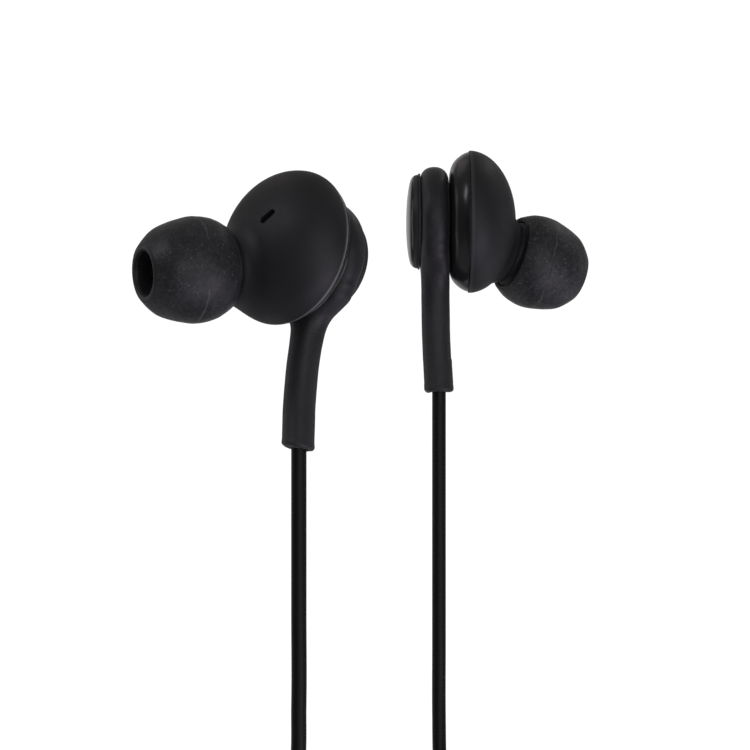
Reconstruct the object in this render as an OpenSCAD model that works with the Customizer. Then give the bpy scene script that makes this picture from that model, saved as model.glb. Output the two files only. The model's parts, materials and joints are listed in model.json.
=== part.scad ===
// Wired in-ear earphones: two mirrored buds with silicone tips, a forked cord
// with an in-line remote, a fork sleeve, a tied hank and a 3.5 mm plug.
// Millimetres, +Z up. The origin is the centre of the left ear tip's mouth.

/* [Buds] */
// Radius of the seam where the two shells of a bud meet
seam_r = 7.95; // [7.9:0.01:8.0]
// Radius of the flat round housing behind the shells
disc_r = 6.2; // [6.15:0.01:6.3]
// Half thickness of that housing, and radius of its round edge
disc_h = 1.62; // [1.6:0.01:1.64]
// Depth of the front shell's dome from the seam
shell_depth = 5.38; // [5.3:0.01:5.4]
// Wall of the front shell
shell_wall = 0.6; // [0.5:0.01:0.65]
// Diameter of the stem
stem_d = 3.2; // [3.1:0.05:3.3]
// Height from the bud's axis down to the stem's lower end, left bud
left_stem_drop = 19.35; // [19.2:0.05:19.5]
// The same on the right bud, whose sleeve was cut a little longer
right_stem_drop = 20; // [19.6:0.05:20.1]

/* [Ear tips and nozzles] */
// Outer radius of the nozzle's barrel
nozzle_r = 2.5; // [2.4:0.01:2.52]
// Radius of the shell's neck at the tip's skirt
neck_r = 3.58; // [3.5:0.01:3.6]
// Radius of the lip that holds the tip on the nozzle
nozzle_lip_r = 2.58; // [2.54:0.01:2.6]
// Length of the nozzle past the skirt's edge
nozzle_len = 4.6; // [4.2:0.1:4.7]
// Bore of the tip's core, over the lip
tip_bore_r = 2.65; // [2.64:0.01:2.68]
// Length of the ear tip
tip_len = 9.13; // [9.0:0.01:9.3]
// Largest radius of the ear tip
tip_r = 5.29; // [5.2:0.01:5.35]

/* [Cords] */
// Diameter of the two branch cords
branch_d = 1.55; // [1.5:0.05:1.6]
// Diameter of the main cord
main_d = 2.0; // [1.9:0.05:2.1]
// Half width of the tied hank
hank_hw = 11.2; // [11:0.1:11.3]
// Length of the hank's straight runs
hank_run = 38; // [37:0.5:38.5]
// Thickness of the hank
hank_t = 8; // [7.6:0.1:8.2]

/* [Remote, fork and plug] */
// Length of the remote
remote_l = 34; // [33.5:0.5:34]
// Width of the remote
remote_w = 7; // [6.8:0.1:7.2]
// Thickness of the remote
remote_t = 5.2; // [5.2:0.1:5.4]
// Gap around each key in its window
key_gap = 0.1; // [0.08:0.01:0.12]
// How far a key can be pressed before it meets its switch
key_travel = 0.3; // [0.2:0.05:0.35]
// Length of the sleeve where the cord forks
fork_l = 17; // [16.5:0.5:17]
// Radius of the plug's contacts
plug_r = 1.75; // [1.74:0.01:1.76]
// Radius of the plug's grip
grip_r = 2.9; // [2.7:0.1:3.0]

/* [Hidden] */
$fn = 64;

// Bud poses in the assembly frame: yaw, pitch, roll, and the seam's centre.
left_pose = [0.3, -0.25, -1.6];
left_pos = [10.6, 14, 17.4];
right_pose = [48.4, 12.6, 0.1];
right_pos = [-8.67, -14, 12.83];

// Nozzle: direction angles in the bud's own frame (x along the bud's axis to
// the ear, y forward, z up) and the centre of the tip's skirt.
nozzle_az = 19.8;
nozzle_el = -16;
nozzle_dir = [cos(nozzle_el) * cos(nozzle_az), cos(nozzle_el) * sin(nozzle_az), sin(nozzle_el)];
skirt_c = [4.75, 3.75, -3.15];

// Cord axes below the stems.
left_cord_xy = [7.2, 11.5];
right_cord_xy = [-7.65, -16.2];

// Sections of the stem: [height, along the axis, forward, half width along the
// axis, half width forward].
stem_hw = stem_d / 2;
stem_rings = [
    [-4.4, -3.92, -0.4, stem_hw, 4.2], [-5.0, -3.91, -0.45, stem_hw, 3.6],
    [-5.6, -3.9, -0.52, stem_hw, 2.95], [-6.1, -3.89, -0.58, stem_hw, 2.45],
    [-6.6, -3.87, -0.65, stem_hw, 2.15], [-7.6, -3.84, -0.73, stem_hw, 1.8],
    [-9.0, -3.79, -0.74, stem_hw, stem_hw + 0.04], [-10.8, -3.72, -0.78, stem_hw, stem_hw],
    [-13.5, -3.63, -1.0, stem_hw, stem_hw], [-16, -3.52, -1.35, stem_hw, stem_hw],
    [-18, -3.42, -1.75, stem_hw, stem_hw]
];

// ---- small maths
function unit(v) = v / norm(v);
function rx(a, p) = [p[0], p[1] * cos(a) - p[2] * sin(a), p[1] * sin(a) + p[2] * cos(a)];
function ry(a, p) = [p[0] * cos(a) + p[2] * sin(a), p[1], -p[0] * sin(a) + p[2] * cos(a)];
function rz(a, p) = [p[0] * cos(a) - p[1] * sin(a), p[0] * sin(a) + p[1] * cos(a), p[2]];
function bud_dir(left, p) =
    left ? rz(left_pose[0], ry(-left_pose[1], rx(left_pose[2], p)))
         : rz(right_pose[0], ry(right_pose[1], rx(right_pose[2], [-p[0], p[1], p[2]])));
function bud_point(left, p) = (left ? left_pos : right_pos) + bud_dir(left, p);
seat = bud_point(true, skirt_c + tip_len * nozzle_dir);
function stem_bottom(left) = let (d = left ? left_stem_drop : right_stem_drop)
    [-3.42 + 0.045 * (d - 18), -1.75 - 0.2 * (d - 18), -d];
function exit_z(left) = bud_point(left, stem_bottom(left))[2];

// Everything is built in the assembly frame and shifted to the origin.
module place() { translate(-seat) children(); }
module bud(left) {
    p = left ? left_pose : right_pose;
    place() translate(left ? left_pos : right_pos)
        rotate([0, 0, p[0]]) rotate([0, left ? -p[1] : p[1], 0]) rotate([p[2], 0, 0])
            mirror([left ? 0 : 1, 0, 0]) children();
}
module on_axis() { rotate([0, 90, 0]) children(); }
module on_nozzle() {
    translate(skirt_c) rotate([0, 0, nozzle_az]) rotate([0, 90 - nozzle_el, 0]) children();
}

// A closed skin through rings of equal length.
function skin_faces(n, m) = concat(
    [for (i = [0 : n - 2]) for (j = [0 : m - 1])
        [i * m + j, (i + 1) * m + j, i * m + (j + 1) % m]],
    [for (i = [0 : n - 2]) for (j = [0 : m - 1])
        [(i + 1) * m + j, (i + 1) * m + (j + 1) % m, i * m + (j + 1) % m]],
    [[for (j = [0 : m - 1]) j]],
    [[for (j = [m - 1 : -1 : 0]) (n - 1) * m + j]]);
module skin(rings) {
    n = len(rings);
    m = len(rings[0]);
    polyhedron(points = [for (r = rings) each r], faces = skin_faces(n, m), convexity = 6);
}

// ---- cords: a tube through hand-set points, smoothed by splitting the corners
function halve(p) = concat([p[0]],
    [for (i = [0 : len(p) - 2]) each [0.75 * p[i] + 0.25 * p[i + 1], 0.25 * p[i] + 0.75 * p[i + 1]]],
    [p[len(p) - 1]]);
function tube_dir(p, i) = unit(p[min(i + 1, len(p) - 1)] - p[max(i - 1, 0)]);
// Frames are carried along the route, so the tube doesn't twist.
function carry(e, t) = unit(e - (e * t) * t);
function tube_frames(p, i = 0, e = [0.31, 0.95, 0.05]) =
    i >= len(p) ? [] : let (t = tube_dir(p, i), f = carry(e, t)) concat([[f, cross(t, f)]], tube_frames(p, i + 1, f));
module cord(route, d, smooth = true) {
    p = smooth ? halve(route) : route;
    fr = tube_frames(p);
    m = 8;
    r = d / 2;
    skin([for (i = [0 : len(p) - 1]) [for (j = [0 : m - 1])
        p[i] + r * (cos(360 * j / m) * fr[i][0] + sin(360 * j / m) * fr[i][1])]]);
}

// ---- bud pieces, in the bud's own frame
module revolve(points) { rotate_extrude($fn = 96) polygon(points); }

module rear_cap_shape() {
    on_axis() revolve([[0, -7.06], [1.4, -7.02], [2.5, -6.93], [3.6, -6.82], [4.3, -6.62],
        [4.8, -6.42], [5.1, -6.25], [5.3, -6.0], [5.45, -5.6], [5.4, -5.52], [4.75, -5.52],
        [4.75, -4.9], [4.15, -4.9], [4.15, -5.7], [0, -6.1]]);
}
function disc_edge(a) = [disc_r - disc_h + disc_h * cos(a), -3.92 + disc_h * sin(a)];
module stem_body(drop) {
    m = 24;
    b = [-drop, -3.42 + 0.045 * (drop - 18), -1.75 - 0.2 * (drop - 18), stem_hw - 0.06, stem_hw - 0.06];
    rr = concat(stem_rings, [[-drop + 0.35, b[1] - 0.015, b[2] + 0.07, stem_hw, stem_hw], b]);
    skin([for (i = [len(rr) - 1 : -1 : 0]) let (s = rr[i]) [for (j = [0 : m - 1])
        [s[1] + s[3] * cos(360 * j / m), s[2] + s[4] * sin(360 * j / m), s[0]]]]);
}
module stem_housing_shape(left) {
    drop = left ? left_stem_drop : right_stem_drop;
    b = stem_bottom(left);
    difference() {
        union() {
            on_axis() revolve(concat([[0, -5.5]], [for (a = [-76 : 9.222 : 90.5]) disc_edge(min(a, 90))], [[0, -2.3]]));
            stem_body(drop);
        }
        // seat of the rear cap, chamber of the board, passage of the shell's boss
        on_axis() revolve([[0, -6.4], [4.8, -6.4], [4.8, -4.85], [4.4, -4.85], [4.4, -3.1], [3, -3.1], [3, -2], [0, -2]]);
        // wire duct down the stem and the pocket of the knot
        wire_run(0.55, left);
        translate([b[0] - 0.09, b[1] + 0.42, b[2] + 1.9]) cylinder(r = 0.95, h = 1.7);
    }
}
module wire_run(r, left) {
    b = stem_bottom(left);
    a = [-3.85, -0.75, -4];
    e = [b[0] - 0.12, b[1] + 0.6, b[2] + 3.5];
    d = e - a;
    translate(a) rotate([0, acos(d[2] / norm(d)), atan2(d[1], d[0])]) cylinder(r = r, h = norm(d), $fn = 24);
}
module stem_housing(left) {
    color([0.09, 0.09, 0.09]) difference() {
        bud(left) stem_housing_shape(left);
        place() translate(concat(left ? left_cord_xy : right_cord_xy, [exit_z(left) - 1]))
            cylinder(r = branch_d / 2 + 0.07, h = 2.6, $fn = 32);
    }
}
module terminal_board_shape() {
    on_axis() {
        translate([0, 0, -4.4]) difference() {
            cylinder(r = 3.6, h = 0.6);
            translate([0, 0, -1]) cylinder(r = 0.7, h = 3, $fn = 32);
        }
        for (y = [-1.6, 1.6]) translate([1.2, y, -3.8]) cylinder(r = 0.5, h = 0.25, $fn = 24);
    }
}
module cord_knot_shape(left) {
    b = stem_bottom(left);
    translate([b[0] - 0.09, b[1] + 0.42, b[2] + 1.95]) {
        cylinder(r = 0.8, h = 1.5, $fn = 32);
    }
}
module lead_wires_shape(left) {
    wire_run(0.3, left);
    on_axis() translate([0, 0, -3.75]) cylinder(r = 0.3, h = 2.5, $fn = 24);
}
module rear_shell_shape() {
    on_axis() revolve([[0.8, -3.1], [2.95, -3.1], [2.95, -2.3], [4.4, -2.3], [4.4, -2.2], [5.55, -2.15],
        [6.1, -2.0], [6.8, -1.65], [7.3, -1.2], [7.7, -0.7], [7.88, -0.3], [seam_r, 0],
        [7.15, 0], [7.15, 0.5], [6.7, 0.5], [6.7, -0.5], [6.2, -1.0], [5.4, -1.35], [0.8, -1.35]]);
}
module driver_frame_shape() {
    on_axis() revolve([[4.05, -1.3], [5.0, -1.3], [6.0, -0.1], [6.0, 2.0], [5.45, 2.0], [5.45, 0.9], [4.6, -0.2], [4.05, -0.2]]);
}
module driver_yoke_shape() {
    on_axis() revolve([[0, -1.2], [4.0, -1.2], [4.0, 0.9], [3.5, 0.9], [3.5, -0.7], [0, -0.7]]);
}
module driver_magnet_shape() { on_axis() translate([0, 0, -0.7]) cylinder(r = 2.5, h = 1.3); }
module driver_top_plate_shape() { on_axis() translate([0, 0, 0.6]) cylinder(r = 2.6, h = 0.3); }
module voice_coil_shape() { on_axis() revolve([[2.9, 0.25], [3.2, 0.25], [3.2, 1.35], [2.9, 1.35]]); }
module diaphragm_shape() {
    on_axis() revolve([[0, 1.6], [1.5, 1.52], [2.9, 1.35], [3.25, 1.35], [4.1, 1.55], [4.9, 1.45], [5.3, 1.3],
        [5.3, 1.42], [4.9, 1.57], [4.1, 1.67], [3.25, 1.47], [2.9, 1.47], [1.5, 1.64], [0, 1.72]]);
}
module driver_cover_shape() {
    on_axis() difference() {
        translate([0, 0, 2]) cylinder(r = 6, h = 0.2);
        translate([0, 0, 1.5]) cylinder(r = 1, h = 1.5, $fn = 32);
        for (a = [0 : 60 : 300]) rotate(a) translate([3.4, 0, 1.5]) cylinder(r = 0.7, h = 1.5, $fn = 32);
    }
}
// Half of an ellipsoid about the bud's axis, as deep as shell_depth.
module dome(r, depth, from = 0) {
    on_axis() revolve(concat([[0, from], [r, from]],
        [for (a = [from < 0 ? 8 : 4 : 4 : 88]) [r * cos(a), depth * sin(a)]], [[0, depth]]));
}
module vent_box(l, w, h) { translate([4.6, -1.34, 1.9]) rotate([135.6, 0, 0]) cube([h, l, w], center = true); }
module front_shell_shape() {
    difference() {
        union() {
            dome(seam_r + 0.02, shell_depth);
            on_nozzle() {
                translate([0, 0, -2.6]) cylinder(r1 = neck_r + 0.95, r2 = neck_r, h = 2.6, $fn = 96);
                translate([0, 0, -0.8]) cylinder(r = nozzle_r, h = nozzle_len + 0.8);
                translate([0, 0, nozzle_len - 0.7]) cylinder(r = nozzle_lip_r, h = 0.7);
            }
        }
        // hollow of the shell, with a straight seat for the rear shell's lip
        dome(7.2, shell_depth - shell_wall, -0.5);
        on_axis() translate([0, 0, -0.5]) cylinder(r = 7.2, h = 1.15, $fn = 96);
        on_nozzle() translate([0, 0, -2.6]) cylinder(r = 1.95, h = nozzle_len + 4);
        vent_box(1.5, 0.56, 3);
    }
}
module vent_screen_shape() {
    intersection() {
        difference() {
            dome(7.18, shell_depth - shell_wall - 0.02);
            dome(7.03, shell_depth - shell_wall - 0.17, -0.5);
        }
        vent_box(2.4, 1.4, 3);
    }
}
module nozzle_screen_shape() {
    on_nozzle() difference() {
        translate([0, 0, nozzle_len - 0.5]) cylinder(r = 1.93, h = 0.15);
        for (a = [0 : 60 : 300]) rotate(a) translate([1.1, 0, nozzle_len - 1]) cylinder(r = 0.3, h = 2, $fn = 24);
        translate([0, 0, nozzle_len - 1]) cylinder(r = 0.3, h = 2, $fn = 24);
    }
}
tip_k = tip_r / 5.29;
tip_z = tip_len / 9.13;
module ear_tip_shape() {
    on_nozzle() revolve([
        [3.7, 0], [4.12 * tip_k, 0], [4.41 * tip_k, 0.5 * tip_z], [4.93 * tip_k, 1.54 * tip_z],
        [5.22 * tip_k, 2.67 * tip_z], [tip_r, 3.9 * tip_z], [5.08 * tip_k, 5.13 * tip_z],
        [4.76 * tip_k, 6.36 * tip_z], [4.3 * tip_k, 7.49 * tip_z], [3.45 * tip_k, 8.51 * tip_z],
        [2.72, tip_len], [2.45, tip_len - 0.03], [2.2, tip_len - 0.28], [2.2, 5], [tip_bore_r, 5],
        [tip_bore_r, 1], [3.2, 1], [3.25, 6.6], [3.6, 6.85], [4.15, 6.1], [4.5, 5.13],
        [4.7, 3.9], [4.62, 2.67], [4.35, 1.54], [3.86, 0.5]]);
}

// ---- cord routes, in the assembly frame
hank_top = -58;
hank_y = -2;
left_route = [[7.2, 11.5, 0], [7.2, 11.5, -9], [7.2, 11.5, -20], [7.2, 11.5, -31], [7.2, 11.5, -39],
    [7.3, 10.2, -44.5], [7.9, 6.2, -49], [9, 2.4, -52.4], [10.1, 0.8, -57]];
right_upper_route = [[-7.65, -16.2, -6], [-7.65, -16.2, -15], [-7.65, -16.2, -24], [-7.65, -16.2, -33],
    [-7.9, -16, -40], [-10.2, -14, -47], [-13.6, -10, -54], [-15.2, -8, -61], [-15.2, -8, -72],
    [-15.2, -8, -83], [-15.2, -8, -91], [-15.2, -6.6, -95.6], [-15.2, -2.5, -98], [-15.2, 1.6, -95.6],
    [-15.2, 3, -91], [-15.2, 3, -85]];
right_lower_route = [[-15.2, 3, -53], [-15.2, 3, -49.5], [-14.3, 2.4, -46.2], [-11.5, 0.9, -44],
    [-8, -0.8, -44.1], [-5, -1.8, -46.2], [-3.2, -2.2, -49]];
left_end_route = [[-9.8, -0.6, -55], [-9, 0.5, -50.8], [-6.4, 1.8, -48.2], [-3.2, 3.2, -47.2], [-0.2, 4.4, -47.8],
    [1.7, 4.9, -50.2], [2.3, 4.9, -53.3], [2.3, 4.9, -57]];
right_end_route = [[-10.4, -2.2, -54.5], [-10.3, -1.2, -50], [-8.4, 1.2, -46.6], [-5, 3.2, -44.6], [-0.6, 4.6, -43.9],
    [3, 4.9, -46.2], [4.6, 4.9, -50], [4.7, 4.9, -53.3], [4.7, 4.9, -57]];
main_start_route = [[3.5, 4.9, -72], [3.5, 4.9, -79], [3.9, 4.8, -86.5], [4.5, 3.8, -93], [4.3, 1.6, -98.5]];
main_end_route = [[9.4, -4.1, -61.5], [12, -4.1, -67], [14.1, -3.5, -73], [15.1, -2.5, -79], [15.3, -2, -84], [15.3, -2, -89]];

module cord_hank_shape() {
    translate([0, hank_y + hank_t / 2, hank_top]) rotate([90, 0, 0]) linear_extrude(hank_t) {
        circle(r = hank_hw);
        translate([0, -hank_run]) circle(r = hank_hw);
        translate([-hank_hw, -hank_run]) square([2 * hank_hw, hank_run]);
    }
}
module cord_tie_shape() {
    w = hank_hw + 0.1;
    t = hank_t / 2 + 0.1;
    translate([0, hank_y, -80]) linear_extrude(5) difference() {
        square([2 * w + 1.4, 2 * t + 1.4], center = true);
        square([2 * w, 2 * t], center = true);
    }
}

// ---- fork sleeve, in its own frame: z along the cord, y the split's normal
fork_pos = [3.5, 4.9, -73];
module fork_outline(inset) {
    polygon([[-2.1 + inset, inset], [2.1 - inset, inset], [2.5 - inset, 4], [3.25 - inset, fork_l - 4],
        [3.25 - inset, fork_l - 1], [2.6 - inset, fork_l - inset], [-2.6 + inset, fork_l - inset],
        [-3.25 + inset, fork_l - 1], [-3.25 + inset, fork_l - 4], [-2.5 + inset, 4]]);
}
module fork_half(side) {
    h = 2.3;
    difference() {
        rotate([90, 0, 0]) translate([0, 0, side > 0 ? -h : 0]) linear_extrude(h) fork_outline(0);
        rotate([90, 0, 0]) translate([0, 0, side > 0 ? -h + 0.9 : -0.5]) linear_extrude(h - 0.4)
            translate([0, 2.2]) scale([0.66, 0.72]) fork_outline(0);
        translate([0, 0, -1]) cylinder(r = main_d / 2 + 0.05, h = 5, $fn = 32);
        for (x = [-1.2, 1.2]) translate([x, 0, fork_l - 5]) cylinder(r = branch_d / 2 + 0.05, h = 6, $fn = 32);
    }
}

// ---- remote, in its own frame: z along the cord, keys face -x, front at x = 0
remote_pos = [-15.2 - remote_t / 2, 3, -52 - remote_l / 2];
key_z = [8.2, 0, -8.2];
key_l = 5.4;
key_w = 3.6;
module remote_plate(x, h, inset) {
    w = remote_w - 2 * inset;
    l = remote_l - 2 * inset;
    translate([x, 0, 0]) rotate([0, 90, 0]) linear_extrude(h) {
        square([l - w, w], center = true);
        for (s = [-1, 1]) translate([s * (l - w) / 2, 0]) circle(d = w);
    }
}
module remote_cord_holes() {
    for (s = [-1, 1]) translate([remote_t / 2, 0, s * (remote_l / 2 - 2) - 2.5]) cylinder(r = branch_d / 2 + 0.05, h = 5, $fn = 32);
}
module remote_front_shape() {
    difference() {
        union() {
            remote_plate(0.5, 2.3, 0);
            remote_plate(0, 0.6, 0.5);
        }
        remote_plate(0.8, 3, 0.8);
        for (z = key_z) translate([0, 0, z]) cube([4, key_w + 2 * key_gap, key_l + 2 * key_gap], center = true);
        remote_cord_holes();
    }
}
module remote_back_shape() {
    difference() {
        union() {
            remote_plate(2.8, remote_t - 3.3, 0);
            remote_plate(remote_t - 0.6, 0.6, 0.5);
        }
        remote_plate(2, remote_t - 2.8, 0.8);
        remote_cord_holes();
        translate([remote_t - 2, 0, -12.6]) rotate([0, 90, 0]) cylinder(r = 0.4, h = 4, $fn = 24);
    }
}
module remote_board_shape() { translate([2.5, -2.5, -13.5]) cube([0.6, 5, 27]); }
module remote_switches_shape() {
    for (z = key_z) translate([1.5 + 0.02 + 0.35, 0, z]) rotate([0, 90, 0]) cylinder(r = 1.3, h = 0.63, $fn = 32);
}
module remote_microphone_shape() { translate([3.1, 0, -12.6]) rotate([0, 90, 0]) cylinder(r = 1.0, h = 0.9, $fn = 32); }
module key_shape(i) {
    translate([0, 0, key_z[i]]) {
        translate([-0.45, -key_w / 2, -key_l / 2]) cube([1.3, key_w, key_l]);
        translate([0.85, -key_w / 2 - 0.5, -key_l / 2 - 0.5]) cube([0.3, key_w + 1, key_l + 1]);
        translate([1.15, 0, 0]) rotate([0, 90, 0]) cylinder(r = 0.8, h = 0.35, $fn = 32);
    }
}
module on_remote() { place() translate(remote_pos) children(); }

// ---- plug, in its own frame: pin points to -z, grip's lower face at z = 0
plug_pos = [15.3, -2, -110];
module on_plug() { place() translate(plug_pos) children(); }
module plug_grip_shape() {
    revolve([[0, 0], [grip_r - 0.3, 0], [grip_r, 0.3], [grip_r, 12.5], [grip_r - 0.5, 13.6], [1.9, 14.2],
        [1.7, 16], [1.45, 22], [main_d / 2 + 0.05, 22], [main_d / 2 + 0.05, 18], [0, 18]]);
}

// ---- nodes
BLACK = [0.07, 0.07, 0.07];
module left_rear_cap() { color(BLACK) bud(true) rear_cap_shape(); }
module right_rear_cap() { color(BLACK) bud(false) rear_cap_shape(); }
module left_stem_housing() { stem_housing(true); }
module right_stem_housing() { stem_housing(false); }
module left_terminal_board() { color("darkgreen") bud(true) terminal_board_shape(); }
module right_terminal_board() { color("darkgreen") bud(false) terminal_board_shape(); }
module left_cord_knot() { color([0.1, 0.1, 0.1]) bud(true) cord_knot_shape(true); }
module right_cord_knot() { color([0.1, 0.1, 0.1]) bud(false) cord_knot_shape(false); }
module left_lead_wires() { color("peru") bud(true) lead_wires_shape(true); }
module right_lead_wires() { color("peru") bud(false) lead_wires_shape(false); }
module left_rear_shell() { color(BLACK) bud(true) rear_shell_shape(); }
module right_rear_shell() { color(BLACK) bud(false) rear_shell_shape(); }
module left_driver_frame() { color("silver") bud(true) driver_frame_shape(); }
module right_driver_frame() { color("silver") bud(false) driver_frame_shape(); }
module left_driver_yoke() { color("gray") bud(true) driver_yoke_shape(); }
module right_driver_yoke() { color("gray") bud(false) driver_yoke_shape(); }
module left_driver_magnet() { color("dimgray") bud(true) driver_magnet_shape(); }
module right_driver_magnet() { color("dimgray") bud(false) driver_magnet_shape(); }
module left_driver_top_plate() { color("gray") bud(true) driver_top_plate_shape(); }
module right_driver_top_plate() { color("gray") bud(false) driver_top_plate_shape(); }
module left_voice_coil() { color("orange") bud(true) voice_coil_shape(); }
module right_voice_coil() { color("orange") bud(false) voice_coil_shape(); }
module left_diaphragm() { color("khaki") bud(true) diaphragm_shape(); }
module right_diaphragm() { color("khaki") bud(false) diaphragm_shape(); }
module left_driver_cover() { color("silver") bud(true) driver_cover_shape(); }
module right_driver_cover() { color("silver") bud(false) driver_cover_shape(); }
module left_front_shell() { color([0.13, 0.13, 0.13]) bud(true) front_shell_shape(); }
module right_front_shell() { color([0.13, 0.13, 0.13]) bud(false) front_shell_shape(); }
module left_vent_screen() { color("black") bud(true) vent_screen_shape(); }
module right_vent_screen() { color("black") bud(false) vent_screen_shape(); }
module left_nozzle_screen() { color("silver") bud(true) nozzle_screen_shape(); }
module right_nozzle_screen() { color("silver") bud(false) nozzle_screen_shape(); }
module left_ear_tip() { color([0.1, 0.1, 0.1]) bud(true) ear_tip_shape(); }
module right_ear_tip() { color([0.1, 0.1, 0.1]) bud(false) ear_tip_shape(); }

module left_cord() {
    color(BLACK) place() cord(concat([[left_cord_xy[0], left_cord_xy[1], exit_z(true) + 1.2]], [for (i = [1 : len(left_route) - 1]) left_route[i]]), branch_d);
}
module left_cord_end() { color(BLACK) place() cord(left_end_route, branch_d); }
module right_cord_upper() {
    color(BLACK) place() cord(concat([[right_cord_xy[0], right_cord_xy[1], exit_z(false) + 1.2]], [for (i = [1 : len(right_upper_route) - 1]) right_upper_route[i]]), branch_d);
}
module right_cord_lower() { color(BLACK) place() cord(right_lower_route, branch_d); }
module right_cord_end() { color(BLACK) place() cord(right_end_route, branch_d); }
module main_cord_start() { color(BLACK) place() cord(main_start_route, main_d); }
module main_cord_end() { color(BLACK) place() cord(main_end_route, main_d); }
module cord_hank() { color(BLACK) place() cord_hank_shape(); }
module cord_tie() { color([0.2, 0.2, 0.2]) place() cord_tie_shape(); }
module fork_front_half() { color(BLACK) place() translate(fork_pos) fork_half(-1); }
module fork_back_half() { color(BLACK) place() translate(fork_pos) fork_half(1); }
module remote_front_cover() { color(BLACK) on_remote() remote_front_shape(); }
module remote_back_cover() { color(BLACK) on_remote() remote_back_shape(); }
module remote_board() { color("darkgreen") on_remote() remote_board_shape(); }
module remote_switches() { color("silver") on_remote() remote_switches_shape(); }
module remote_microphone() { color("silver") on_remote() remote_microphone_shape(); }
module volume_up_key() { color([0.15, 0.15, 0.15]) on_remote() key_shape(0); }
module play_key() { color([0.15, 0.15, 0.15]) on_remote() key_shape(1); }
module volume_down_key() { color([0.15, 0.15, 0.15]) on_remote() key_shape(2); }
module plug_grip() { color(BLACK) on_plug() plug_grip_shape(); }
module plug_ground_sleeve() { color("gold") on_plug() translate([0, 0, -4.2]) cylinder(r = plug_r, h = 4.2); }
module plug_mic_ring() { color("gold") on_plug() translate([0, 0, -6.9]) cylinder(r = plug_r, h = 2.2); }
module plug_right_ring() { color("gold") on_plug() translate([0, 0, -9.6]) cylinder(r = plug_r, h = 2.2); }
module plug_tip() {
    color("gold") on_plug() revolve([[0, -14], [0.7, -14], [1.55, -12.6], [1.55, -12.2], [1.15, -11.4], [plug_r, -10.9], [plug_r, -10.1], [0, -10.1]]);
}
module plug_insulators() { color("black") on_plug() for (z = [-4.7, -7.4, -10.1]) translate([0, 0, z]) cylinder(r = plug_r, h = 0.5); }

left_rear_cap();
left_stem_housing();
left_terminal_board();
left_cord_knot();
left_lead_wires();
left_rear_shell();
left_driver_frame();
left_driver_yoke();
left_driver_magnet();
left_driver_top_plate();
left_voice_coil();
left_diaphragm();
left_driver_cover();
left_front_shell();
left_vent_screen();
left_nozzle_screen();
left_ear_tip();
right_rear_cap();
right_stem_housing();
right_terminal_board();
right_cord_knot();
right_lead_wires();
right_rear_shell();
right_driver_frame();
right_driver_yoke();
right_driver_magnet();
right_driver_top_plate();
right_voice_coil();
right_diaphragm();
right_driver_cover();
right_front_shell();
right_vent_screen();
right_nozzle_screen();
right_ear_tip();
left_cord();
left_cord_end();
right_cord_upper();
right_cord_lower();
right_cord_end();
main_cord_start();
main_cord_end();
cord_hank();
cord_tie();
fork_front_half();
fork_back_half();
remote_front_cover();
remote_back_cover();
remote_board();
remote_switches();
remote_microphone();
volume_up_key();
play_key();
volume_down_key();
plug_grip();
plug_ground_sleeve();
plug_mic_ring();
plug_right_ring();
plug_tip();
plug_insulators();
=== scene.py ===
import bpy, bmesh, math, json
import numpy as np
from mathutils import Vector, Matrix

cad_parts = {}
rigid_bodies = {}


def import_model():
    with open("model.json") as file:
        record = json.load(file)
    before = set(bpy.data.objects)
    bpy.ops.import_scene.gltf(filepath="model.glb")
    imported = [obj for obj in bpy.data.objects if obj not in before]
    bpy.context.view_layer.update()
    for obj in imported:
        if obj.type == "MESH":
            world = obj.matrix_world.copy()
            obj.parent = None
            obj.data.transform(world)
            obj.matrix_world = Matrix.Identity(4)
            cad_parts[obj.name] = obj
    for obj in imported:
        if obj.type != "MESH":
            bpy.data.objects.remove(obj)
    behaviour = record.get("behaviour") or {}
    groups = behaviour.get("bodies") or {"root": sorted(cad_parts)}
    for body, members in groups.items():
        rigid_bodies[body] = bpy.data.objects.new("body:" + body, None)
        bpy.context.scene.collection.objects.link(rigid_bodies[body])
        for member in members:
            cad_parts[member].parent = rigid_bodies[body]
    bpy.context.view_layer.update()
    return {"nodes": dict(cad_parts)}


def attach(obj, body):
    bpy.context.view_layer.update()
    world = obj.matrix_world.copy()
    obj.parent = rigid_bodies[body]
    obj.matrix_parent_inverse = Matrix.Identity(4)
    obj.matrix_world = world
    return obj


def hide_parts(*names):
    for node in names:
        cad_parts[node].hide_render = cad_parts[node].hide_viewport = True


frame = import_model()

# ------------------------------------------------------------------ frame
# Shapes are written in the assembly frame of part.scad (mm) and moved to the
# row frame, whose origin is the centre of the left ear tip's mouth.
SEAT = np.array([23.5472753, 20.62991345, 11.49122674])


def row(p):
    return (np.asarray(p, float) - SEAT) * 0.001


def rot(axis, deg):
    a = math.radians(deg)
    c, s = math.cos(a), math.sin(a)
    if axis == "x":
        return np.array([[1, 0, 0], [0, c, -s], [0, s, c]])
    if axis == "y":
        return np.array([[c, 0, s], [0, 1, 0], [-s, 0, c]])
    return np.array([[c, -s, 0], [s, c, 0], [0, 0, 1]])


POSE = {
    "left": (np.array([10.6, 14, 17.4]), rot("z", 0.3) @ rot("y", 0.25) @ rot("x", -1.6), False),
    "right": (np.array([-8.67, -14, 12.83]), rot("z", 48.4) @ rot("y", 12.6) @ rot("x", 0.1), True),
}


def bud_to_row(side, v):
    pos, m, flip = POSE[side]
    v = np.array(v, float)
    if flip:
        v = v * np.array([-1, 1, 1])
    return row(v @ m.T + pos)


def row_to_bud(side, v):
    pos, m, flip = POSE[side]
    q = (np.asarray(v, float) * 1000 + SEAT - pos) @ m
    if flip:
        q = q * np.array([-1, 1, 1])
    return q


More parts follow.
